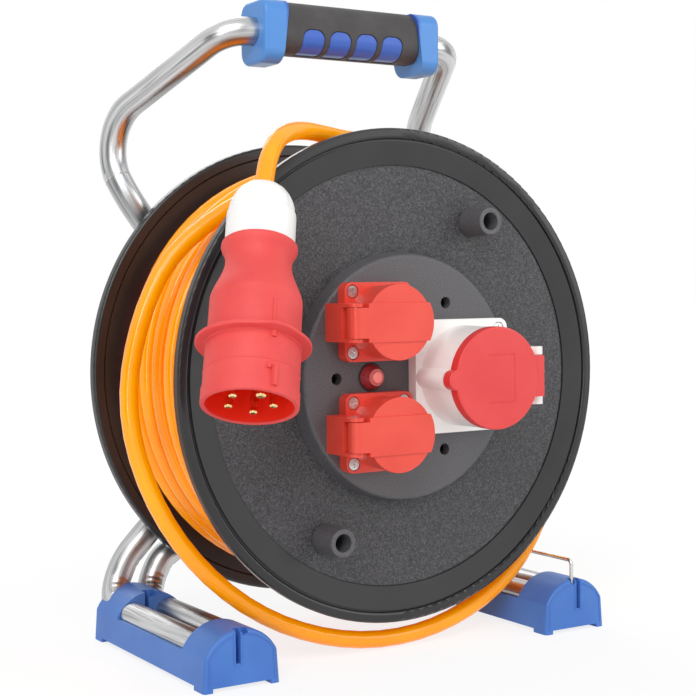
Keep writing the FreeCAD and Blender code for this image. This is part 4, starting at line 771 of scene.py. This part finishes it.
def make_lid_lines():
    """Three raised lines on the round lid, open to the left."""
    for index, (start, end) in enumerate(zip(LID_CORNERS, LID_CORNERS[1:])):
        spots = []
        for step in range(LID_LINE_STEPS + 1):
            x = LID_X + start[0] + (end[0] - start[0]) * step / LID_LINE_STEPS
            z = AXLE_HEIGHT + start[1] + (end[1] - start[1]) * step / LID_LINE_STEPS
            spots.append((x, z))
        line = on_front("five_pole_lid", spots)
        ridge(f"round_lid_line_{index}", line, FRONT, LID_LINE_WIDTH, LID_LINE_HEIGHT,
              "five_pole_flap", "lid")


make_lid_lines()


# Plug and nut, turned round the axis of the plug

PLUG_TOP = Vector((-109.8, -22, 287.5))
PLUG_AXIS = Vector((-0.2724, -0.3598, -0.8924)).normalized()
PLUG_SIDE = PLUG_AXIS.cross(Vector((0.0329, -0.9304, 0.3651))).normalized()
PLUG_KEY = PLUG_SIDE.cross(PLUG_AXIS).normalized()
TURNED_SIDES = 96
# The collar's rim, over this radius, rises towards the nut within an angle to each side of the key
COLLAR_RIM_RADIUS = 31
COLLAR_LIFT = 1.2
COLLAR_LIFT_ANGLE = 24
# Flutes round the nut's dome, over a radius and between two distances along the plug
FLUTES = 12
FLUTE_DEPTH = 0.45
FLUTED_RADIUS = 16.3
FLUTE_START = 6
FLUTE_END = 20

# Each outline is radius and distance along the plug, in millimetres
PLUG_OUTLINE = (
    (15.5, 30), (15.5, 37.4), (20.9, 37.4), (21.5, 37.9), (21.6, 39.6), (21.1, 41.2), (19.9, 43.4),
    (19.1, 45.6), (18.7, 48), (18.7, 50.6), (19.1, 53.4), (20.1, 56.8), (21.3, 60.2), (22.6, 63.2),
    (23.8, 66), (25, 69.3), (25.6, 71.6), (25.7, 73), (25.7, 90), (25.7, 97), (26.2, 97.5),
    (31.6, 97.2), (32, 97.6), (32, 99), (31.6, 99.4), (26.8, 99.6), (26.3, 100.1), (26.3, 116),
    (26.5, 116.3), (26.3, 116.6), (26.3, 125), (26.8, 126), (26.8, 133.6), (26.5, 134.2),
    (26, 134.4), (24.6, 134.4), (24.2, 134.1), (24, 133.5), (24, 80), (15.5, 70),
)
# The last rings of faces, which are the inner wall of the plug's mouth
PLUG_MOUTH_RINGS = 2
NUT_OUTLINE = (
    (5.9, 10), (5.9, 0.6), (6.4, 0.1), (10, 0), (10.9, 0.3), (13.6, 2.6), (15.85, 5.7), (17.6, 9.3),
    (18.7, 13), (18.95, 15.6), (19, 16.4), (19.7, 17.6), (19.8, 18.6), (19.8, 36.6), (19.6, 37),
    (16.2, 37.1), (16.2, 20),
)
# Raised blocks on the plug: name, angle, radius, start and end along the plug, width and height
PLUG_BLOCKS = (
    ("plug_key", 0, 26.1, 119.5, 131, 3.6, 2.6),
    ("plug_key_foot", 7, 26.2, 119.5, 121.5, 2.6, 1.6),
    ("plug_line", 3, 25.6, 80, 94, 2, 0.9),
    ("plug_collar_bump", 3, 26.2, 99.5, 103, 3.2, 1.4),
)


def plug_place(radius, angle, along):
    """A point round the plug's axis, in millimetres, at an angle in degrees from the key to the
    left."""
    turn = math.radians(angle)
    spoke = PLUG_KEY * math.cos(turn) + PLUG_SIDE * math.sin(turn)
    return PLUG_TOP + PLUG_AXIS * along + spoke * radius


def turned(name, node, outline, change, finish, second=None, second_rings=0):
    """A piece turned from its outline, closed from the last point back to the first."""
    points = []
    for radius, along in outline:
        for step in range(TURNED_SIDES):
            angle = 360 * step / TURNED_SIDES
            points.append(at(*plug_place(*change(radius, angle, along))))
    faces = skin(len(outline), TURNED_SIDES, closed=True)
    second_end = len(faces) - TURNED_SIDES
    second_faces = range(second_end - second_rings * TURNED_SIDES, second_end)
    piece = add_mesh(name, points, faces, "drum", finish, CREASE, second, second_faces)
    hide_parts(node)
    return piece


def lifted_collar(radius, angle, along):
    """The collar's edge rises towards the nut over the key."""
    from_key = abs((angle + 180) % 360 - 180) / COLLAR_LIFT_ANGLE
    if radius > COLLAR_RIM_RADIUS and from_key < 1:
        along -= COLLAR_LIFT * math.sin(math.pi * (1 - from_key) / 2)
    return radius, angle, along


def fluted_dome(radius, angle, along):
    """Shallow flutes round the nut's dome."""
    if FLUTE_START < along < FLUTE_END and radius > FLUTED_RADIUS:
        share = math.sin(math.pi * (along - FLUTE_START) / (FLUTE_END - FLUTE_START))
        radius -= FLUTE_DEPTH * share * max(0, math.cos(math.radians(angle * FLUTES))) ** 2
    return radius, angle, along


def plug_block(name, angle, radius, start, end, width, height):
    """A small raised block along the plug, millimetres wide and high."""
    line = [plug_place(radius, angle, along) for along in (start, (start + end) / 2, end)]
    normal = (plug_place(1, angle, 0) - PLUG_TOP).normalized()
    return ridge(name, line, normal, width, height, "drum", "plug")


def make_plug():
    """The plug's pieces: its blocks, body and nut are drawn here, and the rest are the CAD's."""
    blocks = [plug_block(*sizes) for sizes in PLUG_BLOCKS]
    body = turned("plug_body_turned", "plug_body", PLUG_OUTLINE, lifted_collar, "plug",
                  second="mouth", second_rings=PLUG_MOUTH_RINGS)
    nut = turned("plug_nut_turned", "plug_gland_nut", NUT_OUTLINE, fluted_dome, "white")
    return [body, nut, cad["plug_seal"], cad["plug_insert"], cad["plug_pins"]] + blocks


# Cable

CABLE_RADIUS = 5.5
CABLE_PITCH = 11.5
# The outer layer, then the climb to the loose turns over it, which run back towards the front
LAYER_RADIUS = 120
LAYER_FIRST_Y = 13.6
LAYER_TURNS = 8.6
CLIMB_TURNS = 0.5
CLIMB_HEIGHT = 13.5
CLIMB_DRIFT = 2
UPPER_TURNS = 4.18
UPPER_PITCH = 18
# The winding's last part lifts off, and ends at this angle in degrees
END_LIFT = 5.5
END_LIFT_TURNS = 0.4
END_ANGLE = 104
WINDING_TURNS = LAYER_TURNS + CLIMB_TURNS + UPPER_TURNS
POINTS_PER_TURN = 16

# Inner layers, first to last: radius, turns, first and last y
INNER_LAYERS = (
    (86, 7.148, 112, 15),
    (97.2, 7.5, 15, 113),
    (108.5, 7.5, 113, 14.5),
)


def smooth(share):
    """Eases from 0 to 1, level at both ends."""
    share = min(max(share, 0), 1)
    return share * share * (3 - 2 * share)


def outer_place(turn):
    """Radius and y of the outer layer and the loose turns over it."""
    since_layer = turn - LAYER_TURNS
    since_climb = since_layer - CLIMB_TURNS
    radius = LAYER_RADIUS + CLIMB_HEIGHT * smooth(since_layer / CLIMB_TURNS)
    layer_end = LAYER_FIRST_Y + CABLE_PITCH * LAYER_TURNS
    if since_layer <= 0:
        y = LAYER_FIRST_Y + CABLE_PITCH * turn
    elif since_climb <= 0:
        # a curve from the layer's way along Y to the loose turns' way back
        share = since_layer / CLIMB_TURNS
        drift = CLIMB_DRIFT * share * (3 - 2 * share)
        rise = CABLE_PITCH * CLIMB_TURNS * share * (1 - share) ** 2
        fall = UPPER_PITCH * CLIMB_TURNS * share * share * (1 - share)
        y = layer_end + drift + rise + fall
    else:
        y = layer_end + CLIMB_DRIFT - UPPER_PITCH * since_climb
    radius += END_LIFT * smooth((turn - WINDING_TURNS) / END_LIFT_TURNS + 1)
    return radius, y


def winding_points():
    """Control points of the whole winding, from its inner end to its outer end."""
    inner_turns = sum(turns for radius, turns, first_y, last_y in INNER_LAYERS)
    count = round((inner_turns + WINDING_TURNS) * POINTS_PER_TURN)
    # a smooth line passes inside its control points on a circle, so these lie a little outside
    outward = 1 / math.cos(math.pi / POINTS_PER_TURN)
    points = []
    for index in range(count + 1):
        turn = index * (inner_turns + WINDING_TURNS) / count
        angle = math.radians(END_ANGLE + (turn - inner_turns - WINDING_TURNS) * 360)
        if turn >= inner_turns:
            radius, y = outer_place(turn - inner_turns)
        else:
            start = 0
            for radius, turns, first_y, last_y in INNER_LAYERS:
                if turn < start + turns:
                    break
                start += turns
            y = first_y + (last_y - first_y) * (turn - start) / turns
        radius *= outward
        points.append(at(radius * math.cos(angle), y, AXLE_HEIGHT + radius * math.sin(angle)))
    return points


# Control points of the free end, from the winding to the plug
FREE_END = (
    (-129.5, 42, 265),
    (-159.5, 43, 217),
    (-171.8, 40.5, 153.2),
    (-149, 32, 84.8),
    (-99.4, 22.5, 32.3),
    (-32.8, 15, 5.9),
    (38.7, 14.2, 7.2),
    (103, 16.5, 37.6),
    (142, 22, 98.8),
    (156, 27, 171.7),
    (138, 30, 244.8),
    (89, 33, 300.5),
    (28, 34.5, 324.3),
    (-17.5, 30, 323.3),
    (-42.8, 21.5, 325.6),
    (-65, 11.5, 326.4),
    (-83.4, 0.5, 322.2),
    (-96.1, -9, 313.8),
    (-107.1, -18.4, 296.4),
    (-113.1, -26.3, 276.8),
)


def make_cable():
    """One round sheath along a smooth line, from inside the drum to the plug."""
    data = bpy.data.curves.new("cable", "CURVE")
    data.dimensions = "3D"
    data.bevel_depth = CABLE_RADIUS * MM
    data.bevel_resolution = 6
    data.use_fill_caps = True
    spline = data.splines.new("NURBS")
    points = winding_points() + [at(*point) for point in FREE_END]
    spline.points.add(len(points) - 1)
    for place, point in zip(spline.points, points):
        place.co = (*point, 1)
    spline.order_u = 3
    spline.use_endpoint_u = True
    spline.resolution_u = 5
    data.materials.append(FINISH["cable"])
    cable = bpy.data.objects.new("cable", data)
    bpy.context.scene.collection.objects.link(cable)
    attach(cable, "drum")
    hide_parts("cable_winding", "cable_winding_core", "cable_loose")
    make_plug()


make_cable()


# Stage and light, in metres

FLOOR_REACH = 6
# Between these distances from the reel, the floor's glow grows from its share near by to all
GLOW_DISTANCES = (0.35, 0.9)
GLOW_SHARE = 0.78
GLOW_STRENGTH = 1.04
# How bright the white surroundings are as a light
WORLD_LIGHT = 0.45


def add_board(name, corners, finish):
    """A flat board of the stage, from its corners."""
    mesh = bpy.data.meshes.new(name)
    mesh.from_pydata(corners, [], [(0, 1, 2, 3)])
    mesh.materials.append(finish.material)
    board = bpy.data.objects.new(name, mesh)
    bpy.context.scene.collection.objects.link(board)
    return board


def make_floor():
    """White paper floor. Near the reel it is part paper, which takes the shadow, and part glow, and
    farther out it is glow alone, so that it stays white to its edges."""
    finish = Finish("studio_floor_paper", roughness=0.9, base_color=linear("#fdfdfd"))
    path = finish.node("ShaderNodeLightPath").outputs
    shown = finish.node("ShaderNodeMath", {0: path["Is Camera Ray"], 1: path["Is Glossy Ray"]},
                        operation="MAXIMUM")
    distance = finish.node("ShaderNodeVectorMath", {0: finish.place}, operation="LENGTH")
    far = finish.node("ShaderNodeMapRange", {
        "Value": distance.outputs["Value"],
        "From Min": GLOW_DISTANCES[0], "From Max": GLOW_DISTANCES[1],
        "To Min": GLOW_SHARE, "To Max": 1})
    glow_share = finish.node("ShaderNodeMath", {0: shown.outputs[0], 1: far.outputs["Result"]},
                             operation="MULTIPLY")
    glow = finish.node("ShaderNodeEmission", {"Strength": GLOW_STRENGTH})
    mixed = finish.node("ShaderNodeMixShader", {
        0: glow_share.outputs[0], 1: finish.shader.outputs[0], 2: glow.outputs[0]})
    surface = finish.tree.nodes["Material Output"].inputs["Surface"]
    join(finish.tree, surface, mixed.outputs[0])
    floor = add_board("studio_floor", [(-FLOOR_REACH, -FLOOR_REACH, 0),
                                       (FLOOR_REACH, -FLOOR_REACH, 0),
                                       (FLOOR_REACH, FLOOR_REACH, 0),
                                       (-FLOOR_REACH, FLOOR_REACH, 0)], finish)


def make_flag(name, corner, along, height, finish):
    """A dark board beside the reel, seen only in reflections: it draws dark lines in the tubes."""
    corner, along, up = Vector(corner), Vector(along), Vector((0, 0, height))
    flag = add_board(name, [corner, corner + along, corner + along + up, corner + up], finish)
    flag.visible_camera = False
    flag.visible_diffuse = False
    flag.visible_shadow = False
    flag.visible_transmission = False


def make_world():
    """White surroundings, dimmer as a light than as they are seen."""
    world = bpy.data.worlds.new("studio")
    world.use_nodes = True
    tree = world.node_tree
    path = add_node(tree, "ShaderNodeLightPath").outputs
    seen = add_node(tree, "ShaderNodeMath", {0: path["Is Camera Ray"], 1: path["Is Glossy Ray"]},
                    operation="MAXIMUM")
    strength = add_node(tree, "ShaderNodeMapRange", {
        "Value": seen.outputs[0], "To Min": WORLD_LIGHT, "To Max": 1})
    background = tree.nodes["Background"].inputs
    join(tree, background["Strength"], strength.outputs["Result"])
    join(tree, background["Color"], (1, 1, 1, 1))
    bpy.context.scene.world = world


def add_lamp(name, place, target, width, height, power):
    """A softbox that faces its target, with its power in watts."""
    data = bpy.data.lights.new(name, "AREA")
    data.shape = "RECTANGLE"
    data.size = width
    data.size_y = height
    data.energy = power
    lamp = bpy.data.objects.new(name, data)
    lamp.location = place
    lamp.rotation_euler = (Vector(target) - Vector(place)).to_track_quat("-Z", "Y").to_euler()
    bpy.context.scene.collection.objects.link(lamp)


make_floor()
flag_finish = Finish("studio_flag_black", roughness=0.9, base_color=linear("#141414"))
make_flag("flag_left", (-1.6, -1.2, 0), (0, 1.1, 0), 0.9, flag_finish)
make_flag("flag_front", (-0.3, -2.2, 0.05), (0.35, 0, 0), 1.6, flag_finish)
make_flag("flag_right", (1.5, -0.9, 0), (0, 0.8, 0), 1.2, flag_finish)
make_world()
add_lamp("key_softbox", (-0.9, -1.3, 1.5), (0, 0, 0.2), 1.3, 1.3, 16)
add_lamp("fill_softbox", (1.4, -1.2, 0.8), (0, 0, 0.2), 1.2, 1.2, 9)
add_lamp("rim_softbox", (0.2, 1.4, 1.4), (0, 0, 0.2), 1.0, 1.0, 8)
add_lamp("strip_softbox", (-1.5, -1.35, 0.8), (0, 0, 0.3), 0.16, 1.7, 8)
bpy.context.scene.view_settings.view_transform = "Standard"
